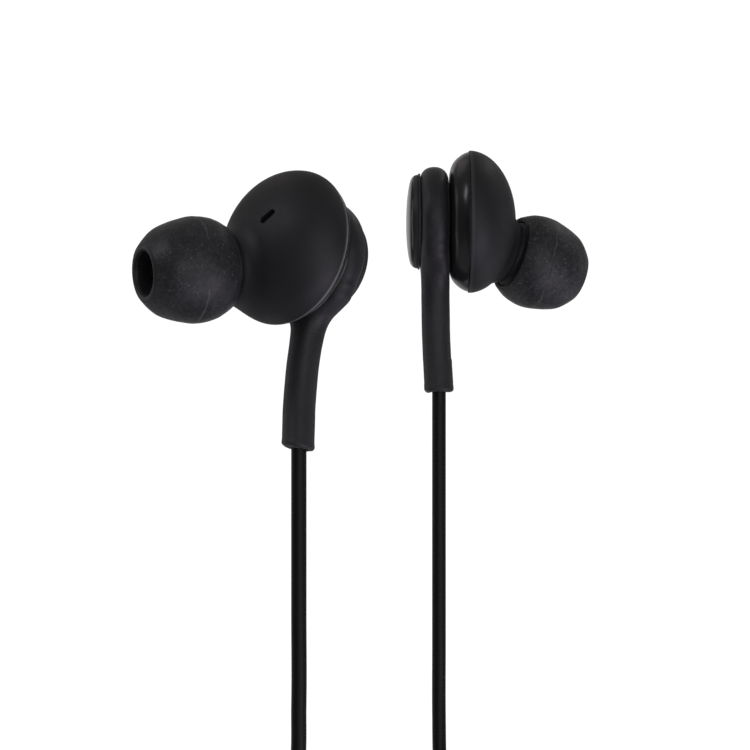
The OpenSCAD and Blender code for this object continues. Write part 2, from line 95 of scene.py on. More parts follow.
AZ, EL = math.radians(19.8), math.radians(-16)
NDIR = np.array([math.cos(EL) * math.cos(AZ), math.cos(EL) * math.sin(AZ), math.sin(EL)])
SKIRT = np.array([4.75, 3.75, -3.15])
TIP_LEN = 9.13
NOZ_LEN = 4.6
_e1 = np.cross([0, 0, 1.0], NDIR)
_e1 /= np.linalg.norm(_e1)
_e2 = np.cross(NDIR, _e1)


def unit(v):
    v = np.asarray(v, float)
    return v / np.linalg.norm(v)


def smoothstep(a, b, x):
    t = np.clip((x - a) / (b - a), 0, 1)
    return t * t * (3 - 2 * t)


def spline(xs, ys, x):
    """Natural-ish cubic through points (Catmull-Rom on uneven knots)."""
    xs = np.asarray(xs, float)
    ys = np.asarray(ys, float)
    if ys.ndim == 1:
        ys = ys[:, None]
    m = np.zeros_like(ys)
    d = np.diff(ys, axis=0) / np.diff(xs)[:, None]
    m[1:-1] = (d[:-1] * np.diff(xs)[1:, None] + d[1:] * np.diff(xs)[:-1, None]) / (xs[2:] - xs[:-2])[:, None]
    m[0], m[-1] = d[0], d[-1]
    x = np.atleast_1d(np.asarray(x, float))
    i = np.clip(np.searchsorted(xs, x, side="right") - 1, 0, len(xs) - 2)
    h = (xs[i + 1] - xs[i])[:, None]
    t = ((x - xs[i])[:, None]) / h
    out = ((2 * t**3 - 3 * t**2 + 1) * ys[i] + (t**3 - 2 * t**2 + t) * h * m[i]
           + (-2 * t**3 + 3 * t**2) * ys[i + 1] + (t**3 - t**2) * h * m[i + 1])
    return out


# ------------------------------------------------------------------ noise
def hash3(ix, iy, iz, seed=0):
    n = (ix * 374761393 + iy * 668265263 + iz * 2147483647 * 3 + seed * 974711) & 0xFFFFFFFF
    n = ((n ^ (n >> 13)) * 1274126177) & 0xFFFFFFFF
    n = n ^ (n >> 16)
    return (n & 0xFFFFFF) / float(0xFFFFFF)


def vnoise(p, scale=1.0, seed=0):
    """Smooth value noise in -1..1 for an (n, 3) array."""
    q = np.asarray(p, float) * scale
    i = np.floor(q).astype(np.int64)
    f = q - i
    f = f * f * (3 - 2 * f)
    out = 0
    for dx in (0, 1):
        for dy in (0, 1):
            for dz in (0, 1):
                w = ((f[:, 0] if dx else 1 - f[:, 0]) * (f[:, 1] if dy else 1 - f[:, 1])
                     * (f[:, 2] if dz else 1 - f[:, 2]))
                out = out + w * hash3(i[:, 0] + dx, i[:, 1] + dy, i[:, 2] + dz, seed)
    return out * 2 - 1


# ------------------------------------------------------------------ meshes
def new_object(name, verts, faces, body, smooth=True, sharp=None):
    me = bpy.data.meshes.new(name)
    me.from_pydata([tuple(map(float, v)) for v in verts], [], [tuple(int(i) for i in f) for f in faces])
    me.update()
    bm = bmesh.new()
    bm.from_mesh(me)
    bmesh.ops.remove_doubles(bm, verts=bm.verts, dist=1e-8)
    bmesh.ops.recalc_face_normals(bm, faces=bm.faces)
    bm.to_mesh(me)
    bm.free()
    ob = bpy.data.objects.new(name, me)
    bpy.context.scene.collection.objects.link(ob)
    if smooth:
        me.polygons.foreach_set("use_smooth", [True] * len(me.polygons))
        if sharp is not None:
            mark_sharp(ob, sharp)
    if body:
        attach(ob, body)
    return ob


def mark_sharp(ob, deg):
    """Keeps edges steeper than deg crisp, without a modifier."""
    bm = bmesh.new()
    bm.from_mesh(ob.data)
    lim = math.radians(deg)
    for e in bm.edges:
        if len(e.link_faces) == 2 and e.calc_face_angle(0) > lim:
            e.smooth = False
    bm.to_mesh(ob.data)
    bm.free()


def grid_faces(n, m, close_u=False, close_v=True, flip=False):
    f = []
    nu = n if close_u else n - 1
    mv = m if close_v else m - 1
    for i in range(nu):
        a0, a1 = i * m, ((i + 1) % n) * m
        for j in range(mv):
            k = (j + 1) % m
            q = (a0 + j, a0 + k, a1 + k, a1 + j)
            f.append(q[::-1] if flip else q)
    return f


def resample(pts, step):
    """Even spacing along a polyline of (r, z) pairs, keeping its corners."""
    out = []
    for a, b in zip(pts[:-1], pts[1:]):
        a, b = np.array(a, float), np.array(b, float)
        n = max(1, int(math.ceil(np.linalg.norm(b - a) / step)))
        for k in range(n):
            out.append(a + (b - a) * k / n)
    out.append(np.array(pts[-1], float))
    return np.array(out)


def round_profile(pts, radii, seg=5):
    """A polyline of (r, z) with each inner corner rounded to its radius."""
    pts = [np.array(p, float) for p in pts]
    if np.isscalar(radii):
        radii = [radii] * len(pts)
    out = [pts[0]]
    for i in range(1, len(pts) - 1):
        p, a, b = pts[i], pts[i - 1], pts[i + 1]
        u, v = a - p, b - p
        lu, lv = np.linalg.norm(u), np.linalg.norm(v)
        if radii[i] <= 0 or lu < 1e-9 or lv < 1e-9:
            out.append(p)
            continue
        u, v = u / lu, v / lv
        cosang = np.clip(np.dot(u, v), -1, 1)
        half = math.acos(cosang) / 2
        if half > math.radians(89):
            out.append(p)
            continue
        d = min(radii[i] / math.tan(half), 0.45 * lu, 0.45 * lv)
        a0, b0 = p + u * d, p + v * d
        for k in range(seg + 1):
            t = k / seg
            out.append((1 - t) ** 2 * a0 + 2 * t * (1 - t) * p + t * t * b0)
    out.append(pts[-1])
    return np.array(out)


def lathe(profile, frame_fn, m=96, closed=False):
    """profile (r, z) around an axis; frame_fn maps (x, y, z) of the axis frame
    to the row frame. Points at r = 0 close the ends."""
    prof = np.array(profile, float)
    ang = np.linspace(0, 2 * math.pi, m, endpoint=False)
    v = []
    for r, z in prof:
        rr = max(r, 1e-5)
        v.append(np.stack([rr * np.cos(ang), rr * np.sin(ang), np.full(m, z)], 1))
    v = np.concatenate(v)
    faces = grid_faces(len(prof), m, close_u=closed)
    if not closed:
        if prof[0][0] < 1e-4:
            faces.append(tuple(range(m))[::-1])
        if prof[-1][0] < 1e-4:
            faces.append(tuple(range((len(prof) - 1) * m, len(prof) * m)))
    return frame_fn(v), faces


def axis_frame(side):
    """(x, y, z) with z along the bud's axis."""
    return lambda v: bud_to_row(side, np.stack([v[:, 2], v[:, 1], -v[:, 0]], 1))


def nozzle_frame(side):
    return lambda v: bud_to_row(side, SKIRT + v[:, 0:1] * _e1 + v[:, 1:2] * _e2 + v[:, 2:3] * NDIR)


def surface_net(field, lo, hi, step):
    """Vectorised naive surface nets of field(points) < 0 on a grid."""
    lo, hi = np.array(lo, float), np.array(hi, float)
    n = np.maximum(np.ceil((hi - lo) / step).astype(int) + 1, 3)
    xs = [lo[k] + step * np.arange(n[k]) for k in range(3)]
    g = np.stack(np.meshgrid(*xs, indexing="ij"), -1).reshape(-1, 3)
    val = np.concatenate([field(c) for c in np.array_split(g, max(1, len(g) // 400000))]).reshape(n)
    ins = val < 0
    c = [ins[i:n[0] - 1 + i, j:n[1] - 1 + j, k:n[2] - 1 + k] for i in (0, 1) for j in (0, 1) for k in (0, 1)]
    s = np.sum(np.stack(c), 0)
    act = (s > 0) & (s < 8)
    idx = -np.ones(act.shape, int)
    idx[act] = np.arange(act.sum())
    cells = np.argwhere(act)
    acc = np.zeros((len(cells), 3))
    cnt = np.zeros(len(cells))
    corner = [(i, j, k) for i in (0, 1) for j in (0, 1) for k in (0, 1)]
    for a in range(8):
        for b in range(a + 1, 8):
            ca, cb = np.array(corner[a]), np.array(corner[b])
            if np.abs(ca - cb).sum() != 1:
                continue
            va = val[tuple((cells + ca).T)]
            vb = val[tuple((cells + cb).T)]
            m = (va < 0) != (vb < 0)
            t = np.where(m, va / np.where(m, va - vb, 1), 0)
            p = ca + t[:, None] * (cb - ca)
            acc[m] += p[m]
            cnt[m] += 1
    verts = lo + (cells + acc / cnt[:, None]) * step
    faces = []
    for ax in range(3):
        b, c2 = [(1, 2), (2, 0), (0, 1)][ax]
        sl0 = [slice(0, n[0]), slice(0, n[1]), slice(0, n[2])]
        sl1 = list(sl0)
        sl0[ax] = slice(0, n[ax] - 1)
        sl1[ax] = slice(1, n[ax])
        i0, i1 = ins[tuple(sl0)], ins[tuple(sl1)]
        e = np.argwhere(i0 != i1)
        flip = i0[tuple(e.T)]
        ok = (e[:, b] > 0) & (e[:, c2] > 0) & (e[:, b] < n[b] - 1) & (e[:, c2] < n[c2] - 1)
        e, flip = e[ok], flip[ok]
        q = []
        for db, dc in ((-1, -1), (0, -1), (0, 0), (-1, 0)):
            o = e.copy()
            o[:, b] += db
            o[:, c2] += dc
            q.append(idx[tuple(o.T)])
        q = np.stack(q, 1)
        q[~flip] = q[~flip][:, ::-1]
        faces.append(q)
    faces = np.concatenate(faces)
    return verts, faces


def project_to(field, v, steps=3, eps=0.01):
    """Moves surface-net points onto the field's zero."""
    v = v.copy()
    for _ in range(steps):
        f = field(v)
        gr = np.stack([(field(v + d) - field(v - d)) / (2 * eps)
                       for d in (np.array([eps, 0, 0]), np.array([0, eps, 0]), np.array([0, 0, eps]))], 1)
        g2 = (gr**2).sum(1)
        v = v - np.clip(f / np.maximum(g2, 0.25), -0.04, 0.04)[:, None] * gr
    return v


# ------------------------------------------------------------------ materials
class Nodes:
    def __init__(self, name):
        self.mat = bpy.data.materials.new(name)
        self.mat.use_nodes = True
        self.nt = self.mat.node_tree
        self.bsdf = self.nt.nodes["Principled BSDF"]
        self.coord = self.nt.nodes.new("ShaderNodeTexCoord").outputs["Object"]

    def add(self, kind, **kw):
        n = self.nt.nodes.new(kind)
        for k, v in kw.items():
            setattr(n, k, v)
        return n

    def link(self, a, b):
        self.nt.links.new(a, b)

    def noise(self, scale, detail=4, rough=0.5, coord=None, dist=0.0):
        n = self.add("ShaderNodeTexNoise")
        n.inputs["Scale"].default_value = scale
        n.inputs["Detail"].default_value = detail
        n.inputs["Roughness"].default_value = rough
        n.inputs["Distortion"].default_value = dist
        self.link(coord or self.coord, n.inputs["Vector"])
        return n.outputs["Fac"]

    def voronoi(self, scale, feature="F1", coord=None, rand=1.0):
        n = self.add("ShaderNodeTexVoronoi", feature=feature)
        n.inputs["Scale"].default_value = scale
        n.inputs["Randomness"].default_value = rand
        self.link(coord or self.coord, n.inputs["Vector"])
        return n

    def ramp(self, fac, stops, interp="LINEAR"):
        n = self.add("ShaderNodeValToRGB")
        n.color_ramp.interpolation = interp
        el = n.color_ramp.elements
        while len(el) < len(stops):
            el.new(0.5)
        for e, (p, c) in zip(el, stops):
            e.position = p
            e.color = (c, c, c, 1) if not hasattr(c, "__len__") else (*c, 1)
        self.link(fac, n.inputs["Fac"])
        return n.outputs["Color"]

    def math(self, op, a, b=None, clamp=False):
        n = self.add("ShaderNodeMath", operation=op, use_clamp=clamp)
        for i, x in enumerate((a, b)):
            if x is None:
                continue
            if hasattr(x, "default_value") or hasattr(x, "links"):
                self.link(x, n.inputs[i])
            else:
                n.inputs[i].default_value = x
        return n.outputs[0]

    def mix(self, fac, a, b):
        n = self.add("ShaderNodeMix", data_type="RGBA")
        for sock, x in ((n.inputs[0], fac), (n.inputs[6], a), (n.inputs[7], b)):
            if hasattr(x, "links"):
                self.link(x, sock)
            elif hasattr(x, "__len__"):
                sock.default_value = (*x, 1)
            else:
                sock.default_value = x
        return n.outputs[2]

    def maprange(self, v, a, b, c, d):
        n = self.add("ShaderNodeMapRange")
        self.link(v, n.inputs["Value"])
        for k, x in (("From Min", a), ("From Max", b), ("To Min", c), ("To Max", d)):
            n.inputs[k].default_value = x
        return n.outputs["Result"]

    def attr(self, name):
        return self.add("ShaderNodeAttribute", attribute_name=name).outputs["Fac"]

    def stretch(self, scale, rotation=(0, 0, 0)):
        n = self.add("ShaderNodeMapping")
        n.inputs["Scale"].default_value = scale
        n.inputs["Rotation"].default_value = rotation
        self.link(self.coord, n.inputs["Vector"])
        return n.outputs["Vector"]

    def vmath(self, op, a, b=None):
        n = self.add("ShaderNodeVectorMath", operation=op)
        for i, x in enumerate((a, b)):
            if x is None:
                continue
            if hasattr(x, "links"):
                self.link(x, n.inputs[i])
            else:
                n.inputs[i].default_value = x
        return n.outputs["Value" if op in ("DOT_PRODUCT", "LENGTH", "DISTANCE") else "Vector"]

    def specks(self, scale, size, soft=1.0):
        """Small round spots, one to a cell, most of them tiny."""
        v = self.voronoi(scale)
        n = self.add("ShaderNodeTexWhiteNoise")
        self.link(v.outputs["Position"], n.inputs["Vector"])
        r = self.math("MULTIPLY", self.math("POWER", n.outputs["Value"], 2.0), size * 1.6)
        edge = self.math("SUBTRACT", r, v.outputs["Distance"])
        return self.math("DIVIDE", edge, size * 0.35 * soft, clamp=True)

    def scratches(self, scale, width, length, keep):
        """Short straight hairlines, each with its own direction."""
        v = self.voronoi(scale)
        off = self.vmath("SUBTRACT", self.coord, v.outputs["Position"])
        way = self.vmath("NORMALIZE", self.vmath("SUBTRACT", v.outputs["Color"], (0.5, 0.5, 0.5)))
        side = self.math("ABSOLUTE", self.vmath("DOT_PRODUCT", off, way))
        line = self.math("SUBTRACT", 1.0, self.math("DIVIDE", side, width), clamp=True)
        n = self.add("ShaderNodeTexWhiteNoise")
        self.link(v.outputs["Position"], n.inputs["Vector"])
        reach = self.math("MULTIPLY", n.outputs["Value"], length)
        ends = self.math("DIVIDE", self.math("SUBTRACT", reach, self.vmath("LENGTH", off)), length * 0.25, clamp=True)
        some = self.math("GREATER_THAN", n.outputs["Value"], keep)
        return self.math("MULTIPLY", self.math("MULTIPLY", line, ends), some)

    def bump(self, height, strength, distance, normal=None):
        n = self.add("ShaderNodeBump")
        n.inputs["Strength"].default_value = strength
        n.inputs["Distance"].default_value = distance
        self.link(height, n.inputs["Height"])
        if normal is not None:
            self.link(normal, n.inputs["Normal"])
        return n.outputs["Normal"]

    def set(self, **kw):
        names = {"color": "Base Color", "rough": "Roughness", "metal": "Metallic", "normal": "Normal",
                 "spec": "Specular IOR Level", "ior": "IOR", "coat": "Coat Weight", "coat_rough": "Coat Roughness",
                 "sheen": "Sheen Weight", "sheen_rough": "Sheen Roughness", "sheen_tint": "Sheen Tint"}
        for k, v in kw.items():
            s = self.bsdf.inputs[names[k]]
            if hasattr(v, "links"):
                self.link(v, s)
            elif hasattr(v, "__len__"):
                s.default_value = (*v, 1)
            else:
                s.default_value = v
        return self


def mat_matte():
    """Front shell: fine-grained matte black plastic, faint violet cast."""
    m = Nodes("matte_shell")
    fine = m.noise(9000, 3, 0.6)
    broad = m.noise(260, 3, 0.5)
    smudge = m.ramp(m.noise(420, 5, 0.65, dist=0.6), [(0.42, 0.0), (0.72, 1.0)])
    base = m.mix(broad, (0.0118, 0.0112, 0.0134), (0.0156, 0.0148, 0.0174))
    base = m.mix(m.math("MULTIPLY", smudge, 0.3), base, (0.024, 0.0235, 0.0255))
    specks = m.math("MULTIPLY", m.specks(1500, 0.06), m.ramp(m.noise(300, 2, 0.5), [(0.5, 0.0), (0.62, 1.0)]))
    base = m.mix(m.math("MULTIPLY", specks, 0.5), base, (0.09, 0.09, 0.09))
    # painted highlight: the broken rim's colour is lifted towards pale grey to stand in for light catching it, strongly
    # on the right bud, faintly on the left; the lower roughness there is real
    rim = m.attr("rim")
    base = m.mix(m.math("MULTIPLY", rim, 0.9), base, (0.200, 0.198, 0.204))
    m.set(color=base, spec=0.52)
    rough = m.maprange(m.math("ADD", broad, m.math("MULTIPLY", smudge, -0.3)), 0.2, 0.9, 0.50, 0.60)
    m.set(rough=m.math("SUBTRACT", rough, m.math("MULTIPLY", rim, 0.28)))
    m.set(normal=m.bump(fine, 0.12, 0.00002))
    return m.mat


def mat_soft():
    """Stem housing: soft-touch coat, a little worn, with dust specks and fine grain, paler towards the stem's lower
    end, and a painted highlight on the edge round the cap.
    """
    m = Nodes("soft_touch")
    fine = m.noise(7000, 4, 0.65)
    broad = m.noise(300, 4, 0.6, dist=0.4)
    wear = m.ramp(m.noise(900, 6, 0.7), [(0.50, 0.0), (0.72, 1.0)])
    pick = m.ramp(m.noise(1500, 2, 0.5), [(0.52, 0.0), (0.60, 1.0)])
    specks = m.math("MAXIMUM", m.math("MULTIPLY", m.specks(2600, 0.14), pick), m.math("MULTIPLY", m.specks(6000, 0.30), 0.35))
    scr = m.scratches(520, 0.000022, 0.0007, 0.45)
    base = m.mix(broad, (0.0160, 0.0150, 0.0178), (0.0240, 0.0224, 0.0264))
    # paler towards the stem's lower end
    base = m.mix(m.math("MULTIPLY", m.attr("paler_lower_stem"), 0.62), base, (0.0395, 0.0375, 0.0410))
    base = m.mix(m.math("MULTIPLY", wear, 0.6), base, (0.040, 0.0385, 0.040))
    base = m.mix(m.math("MULTIPLY", specks, 0.5), base, (0.11, 0.107, 0.108))
    base = m.mix(m.math("MULTIPLY", scr, 0.35), base, (0.075, 0.074, 0.072))
    # painted highlight on the edge round the cap, right bud mostly
    base = m.mix(m.math("MULTIPLY", m.attr("painted_cap_edge_highlight"), 0.8), base, (0.160, 0.157, 0.155))
    m.set(color=base, spec=0.45)
    m.set(rough=m.maprange(broad, 0.25, 0.8, 0.43, 0.55))
    h = m.math("ADD", m.math("MULTIPLY", fine, 0.5), m.math("MULTIPLY", m.noise(1700, 3, 0.5), 0.5))
    m.set(normal=m.bump(h, 0.22, 0.00004))
    m.set(sheen=0.20, sheen_rough=0.35)
    return m.mat


def mat_gloss(name="gloss_shell", scratch=0.35, rough=(0.22, 0.28)):
    """Polished black plastic with hairline scratches and faint smears."""
    m = Nodes(name)
    sc = m.scratches(420, 0.000018, 0.0011, 0.4)
    smear = m.noise(350, 4, 0.6, dist=0.8)
    base = m.mix(m.math("MULTIPLY", sc, scratch * 0.5), (0.0130, 0.0128, 0.0136), (0.045, 0.045, 0.046))
    r = m.math("ADD", m.maprange(smear, 0.3, 0.8, *rough), m.math("MULTIPLY", sc, scratch * 0.15))
    if name == "gloss_cap":  # its side wall is satin
        wall = m.attr("wall")
        base = m.mix(wall, base, (0.0225, 0.0220, 0.0240))
        r = m.math("ADD", r, m.math("MULTIPLY", wall, 0.36))
    m.set(color=base, spec=0.5)
    m.set(rough=r)
    m.set(normal=m.bump(m.math("ADD", m.noise(500, 2, 0.4), m.math("MULTIPLY", sc, -0.3)), 0.02, 0.00006))
    return m.mat


def mat_silicone():
    """Ear tip: silicone with dust, white specks, lint scratches and a flash line."""
    m = Nodes("dusty_silicone")
    cloudy = m.noise(330, 6, 0.65, dist=0.7)
    patchy = m.ramp(m.noise(760, 5, 0.7, dist=0.5), [(0.40, 0.0), (0.72, 1.0)])
    fine = m.noise(6500, 5, 0.7)
    mottle = m.ramp(m.noise(2100, 5, 0.75), [(0.44, 0.0), (0.64, 1.0)])
    sp1 = m.math("MULTIPLY", m.specks(1900, 0.12, 1.4), m.ramp(m.noise(700, 2, 0.5), [(0.44, 0.0), (0.54, 1.0)]))
    sp2 = m.math("MULTIPLY", m.specks(3600, 0.24), m.ramp(m.noise(1100, 3, 0.6), [(0.40, 0.0), (0.56, 1.0)]))
    sp3 = m.math("MULTIPLY", m.specks(7000, 0.36), m.ramp(m.noise(600, 3, 0.6), [(0.38, 0.0), (0.60, 1.0)]))
    specks = m.math("MAXIMUM", sp1, m.math("MAXIMUM", m.math("MULTIPLY", sp2, 0.75), m.math("MULTIPLY", sp3, 0.50)))
    dust = m.attr("dust")
    patchy, mottle, specks = [m.math("MULTIPLY", x, dust) for x in (patchy, mottle, specks)]
    scr = m.math("MAXIMUM", m.scratches(560, 0.000032, 0.0009, 0.5), m.math("MULTIPLY", m.scratches(1500, 0.000028, 0.0004, 0.35), 0.7))
    seam = m.attr("seam")
    seamlight = m.attr("seamlight")
    base = m.mix(cloudy, (0.0085, 0.0082, 0.0100), (0.0180, 0.0173, 0.0210))
    base = m.mix(m.math("MULTIPLY", patchy, 0.45), base, (0.046, 0.046, 0.050))
    base = m.mix(m.math("MULTIPLY", mottle, 0.62), base, (0.056, 0.056, 0.061))
    base = m.mix(m.math("MULTIPLY", specks, 0.72), base, (0.24, 0.24, 0.245))
    base = m.mix(m.math("MULTIPLY", scr, 0.50), base, (0.16, 0.16, 0.16))
    base = m.mix(m.math("MULTIPLY", seamlight, 0.75), base, (0.19, 0.19, 0.185))
    # painted shade: the parting line's groove is painted near black
    base = m.mix(seam, base, (0.006, 0.006, 0.006))
    m.set(color=base, spec=0.50)
    m.set(rough=m.maprange(cloudy, 0.3, 0.8, 0.42, 0.52))
    h = m.math("ADD", m.math("MULTIPLY", fine, 0.4), m.math("MULTIPLY", m.math("MAXIMUM", specks, scr), 0.5))
    h = m.math("ADD", h, m.math("MULTIPLY", patchy, 0.3))
    m.set(normal=m.bump(h, 0.4, 0.00004))
    m.set(sheen=0.05, sheen_rough=0.5)
    return m.mat


def mat_cord(name="cord_jacket", base=(0.0052, 0.0052, 0.0054)):
    """Smooth extruded jacket, satin."""
    m = Nodes(name)
    n1 = m.noise(2600, 3, 0.5)
    n2 = m.noise(420, 4, 0.6)
    c = m.mix(n2, base, tuple(x * 1.5 for x in base))
    m.set(color=c, spec=0.28, rough=m.maprange(n2, 0.3, 0.8, 0.40, 0.50))
    m.set(normal=m.bump(n1, 0.05, 0.00003))
    return m.mat


def mat_elastomer(name="moulded_elastomer", base=(0.016, 0.016, 0.0165), rough=(0.42, 0.55)):
    m = Nodes(name)
    n1 = m.noise(5200, 4, 0.6)
    n2 = m.noise(380, 4, 0.6)
    c = m.mix(n2, base, tuple(x * 1.45 for x in base))
    m.set(color=c, spec=0.45, rough=m.maprange(n2, 0.3, 0.8, *rough))
    m.set(normal=m.bump(n1, 0.22, 0.00005))
    return m.mat


def mat_metal(name, color, rough=0.22, lines=True):
    m = Nodes(name)
    n2 = m.noise(600, 4, 0.6)
    n1 = m.noise(2600, 3, 0.6, coord=m.stretch((1, 1, 9)) if lines else None)
    dark = tuple(x * 0.82 for x in color)
    m.set(color=m.mix(n2, dark, color), metal=1.0, rough=m.maprange(n1, 0.3, 0.8, rough * 0.8, rough * 1.35))
    m.set(normal=m.bump(n1, 0.05, 0.00003))
    return m.mat


def mat_board():
    m = Nodes("solder_mask")
    tr = m.add("ShaderNodeTexBrick")
    tr.inputs["Scale"].default_value = 900
    m.link(m.coord, tr.inputs["Vector"])
    c = m.mix(m.math("MULTIPLY", tr.outputs["Fac"], 0.7), (0.012, 0.12, 0.045), (0.02, 0.2, 0.08))
    m.set(color=m.mix(m.noise(500, 3), c, (0.01, 0.09, 0.035)), rough=m.maprange(m.noise(900, 3), 0.2, 0.8, 0.28, 0.4), spec=0.5)
    m.set(normal=m.bump(tr.outputs["Fac"], 0.2, 0.00005))
    return m.mat


def mat_mesh(name="woven_mesh", color=(0.02, 0.02, 0.02), metal=0.0, scale=5200):
    m = Nodes(name)
    v = m.voronoi(scale, rand=0.15).outputs["Distance"]
    c = m.mix(m.ramp(v, [(0.25, 0.0), (0.5, 1.0)]), tuple(x * 0.15 for x in color), color)
    m.set(color=c, metal=metal, rough=m.maprange(v, 0.0, 0.7, 0.6, 0.35))
    m.set(normal=m.bump(v, 0.7, 0.00008))
    return m.mat


def mat_strap():
    """Hook-and-loop strap: dense looped pile."""
    m = Nodes("loop_strap")
    v = m.voronoi(3600).outputs["Distance"]
    n1 = m.noise(900, 5, 0.7)
    c = m.mix(m.math("MULTIPLY", n1, 1.0), (0.008, 0.008, 0.009), (0.03, 0.03, 0.032))
    m.set(color=m.mix(m.ramp(v, [(0.1, 1.0), (0.5, 0.0)]), c, (0.045, 0.045, 0.047)), rough=m.maprange(v, 0, 0.6, 0.7, 0.95), spec=0.3)
    m.set(normal=m.bump(m.math("ADD", v, n1), 0.8, 0.00012), sheen=0.25, sheen_rough=0.6)
    return m.mat


def mat_film():
    m = Nodes("cone_film")
    n1 = m.noise(1200, 3, 0.5)
    m.set(color=m.mix(n1, (0.55, 0.46, 0.26), (0.7, 0.6, 0.36)), rough=m.maprange(n1, 0.3, 0.8, 0.2, 0.35), spec=0.5)
    m.set(normal=m.bump(n1, 0.1, 0.00005))
    return m.mat


def assign(ob, mat):
    ob.data.materials.clear()
    ob.data.materials.append(mat)
    return ob


MATTE, SOFT, GLOSS, SILI, CORD = mat_matte(), mat_soft(), mat_gloss(), mat_silicone(), mat_cord()
ELAST = mat_elastomer()
REMOTE = mat_gloss("remote_satin", 0.2)
CAP = mat_gloss("gloss_cap", 0.3, (0.09, 0.14))
KEYS = mat_elastomer("key_matte", (0.022, 0.022, 0.023), (0.5, 0.62))
STEEL = mat_metal("bare_steel", (0.62, 0.62, 0.63), 0.26)
ZINC = mat_metal("zinc_steel", (0.5, 0.51, 0.53), 0.3)
NICKEL = mat_metal("magnet_nickel", (0.6, 0.58, 0.54), 0.12, False)
GOLD = mat_metal("plug_gold", (0.86, 0.62, 0.26), 0.14)
COPPER = mat_metal("enamel_copper", (0.72, 0.34, 0.14), 0.25)
BOARD, MESH, FILM, STRAP = mat_board(), mat_mesh(color=(0.0070, 0.0070, 0.0054)), mat_film(), mat_strap()
SCREEN = mat_mesh("steel_screen", (0.45, 0.45, 0.45), 1.0, 4200)
INSUL = mat_elastomer("plug_insulator", (0.01, 0.01, 0.01), (0.25, 0.35))

CAD_MATS = {
    "terminal_board": BOARD, "cord_knot": CORD, "lead_wires": COPPER, "driver_frame": STEEL, "driver_yoke": ZINC,
    "driver_magnet": NICKEL, "driver_top_plate": ZINC, "voice_coil": COPPER, "diaphragm": FILM,
    "driver_cover": STEEL, "vent_screen": MESH, "nozzle_screen": SCREEN,
    "remote_board": BOARD, "remote_switches": STEEL, "remote_microphone": ZINC,
}


def cad(name):
    return frame["nodes"][name] if not isinstance(frame["nodes"][name], str) else bpy.data.objects[frame["nodes"][name]]


# ------------------------------------------------------------------ camera
cam_data = bpy.data.cameras.new("camera")
cam_data.sensor_fit = "HORIZONTAL"
cam_data.sensor_width = 36
cam_data.lens = 36 * 2288 / 750
cam_data.clip_start = 0.01
cam_data.clip_end = 20
cam = bpy.data.objects.new("camera", cam_data)
bpy.context.scene.collection.objects.link(cam)
cam.location = Vector(row([0, -246, 0]))
cam.rotation_euler = (math.radians(90), 0, 0)
bpy.context.scene.camera = cam


# ------------------------------------------------------------------ cords
# Routes in the assembly frame, in mm: the points of part.scad, and inside the
# hank every turn of the wound-up length.
BR, MR = 0.775, 1.0
TOP, RUN, CY = -58.0, 38.0, -96.0


def on_hank(u, r, y):
    """u counts quarter laps: 0 down the right side, 1 the lower bend, 2 up the
    left side, 3 the upper bend."""
    k, f = int(math.floor(u)) % 4, u - math.floor(u)
    if k == 0:
        return [r, y, TOP - RUN * f]
    if k == 1:
        return [r * math.cos(math.pi * f), y, CY - r * math.sin(math.pi * f)]
    if k == 2:
        return [-r, y, CY + RUN * f]
    return [-r * math.cos(math.pi * f), y, TOP + r * math.sin(math.pi * f)]


def laps(u0, u1, keys, step=0.045):
    """Points round the hank from u0 to u1; keys are (u, r, y), eased between."""
    ku = [k[0] for k in keys]
    out = []
    for u in np.arange(u0, u1 + 1e-9, step):
        i = int(np.clip(np.searchsorted(ku, u) - 1, 0, len(keys) - 2))
        t = np.clip((u - ku[i]) / (ku[i + 1] - ku[i]), 0, 1)
        t = t * t * (3 - 2 * t)
        r = keys[i][1] + (keys[i + 1][1] - keys[i][1]) * t
        y = keys[i][2] + (keys[i + 1][2] - keys[i][2]) * t
        out.append(on_hank(u, r, y))
    return out


def evenly(pts, step):
    pts = np.array(pts, float)
    keep = np.concatenate([[True], np.linalg.norm(np.diff(pts, axis=0), axis=1) > 1e-6])
    pts = pts[keep]
    s = np.concatenate([[0], np.cumsum(np.linalg.norm(np.diff(pts, axis=0), axis=1))])
    fine = spline(s, pts, np.linspace(0, s[-1], max(8, int(s[-1] / 0.2))))
    s = np.concatenate([[0], np.cumsum(np.linalg.norm(np.diff(fine, axis=0), axis=1))])
    at = np.linspace(0, s[-1], int(round(s[-1] / step)) + 1)
    return np.stack([np.interp(at, s, fine[:, k]) for k in range(3)], 1)


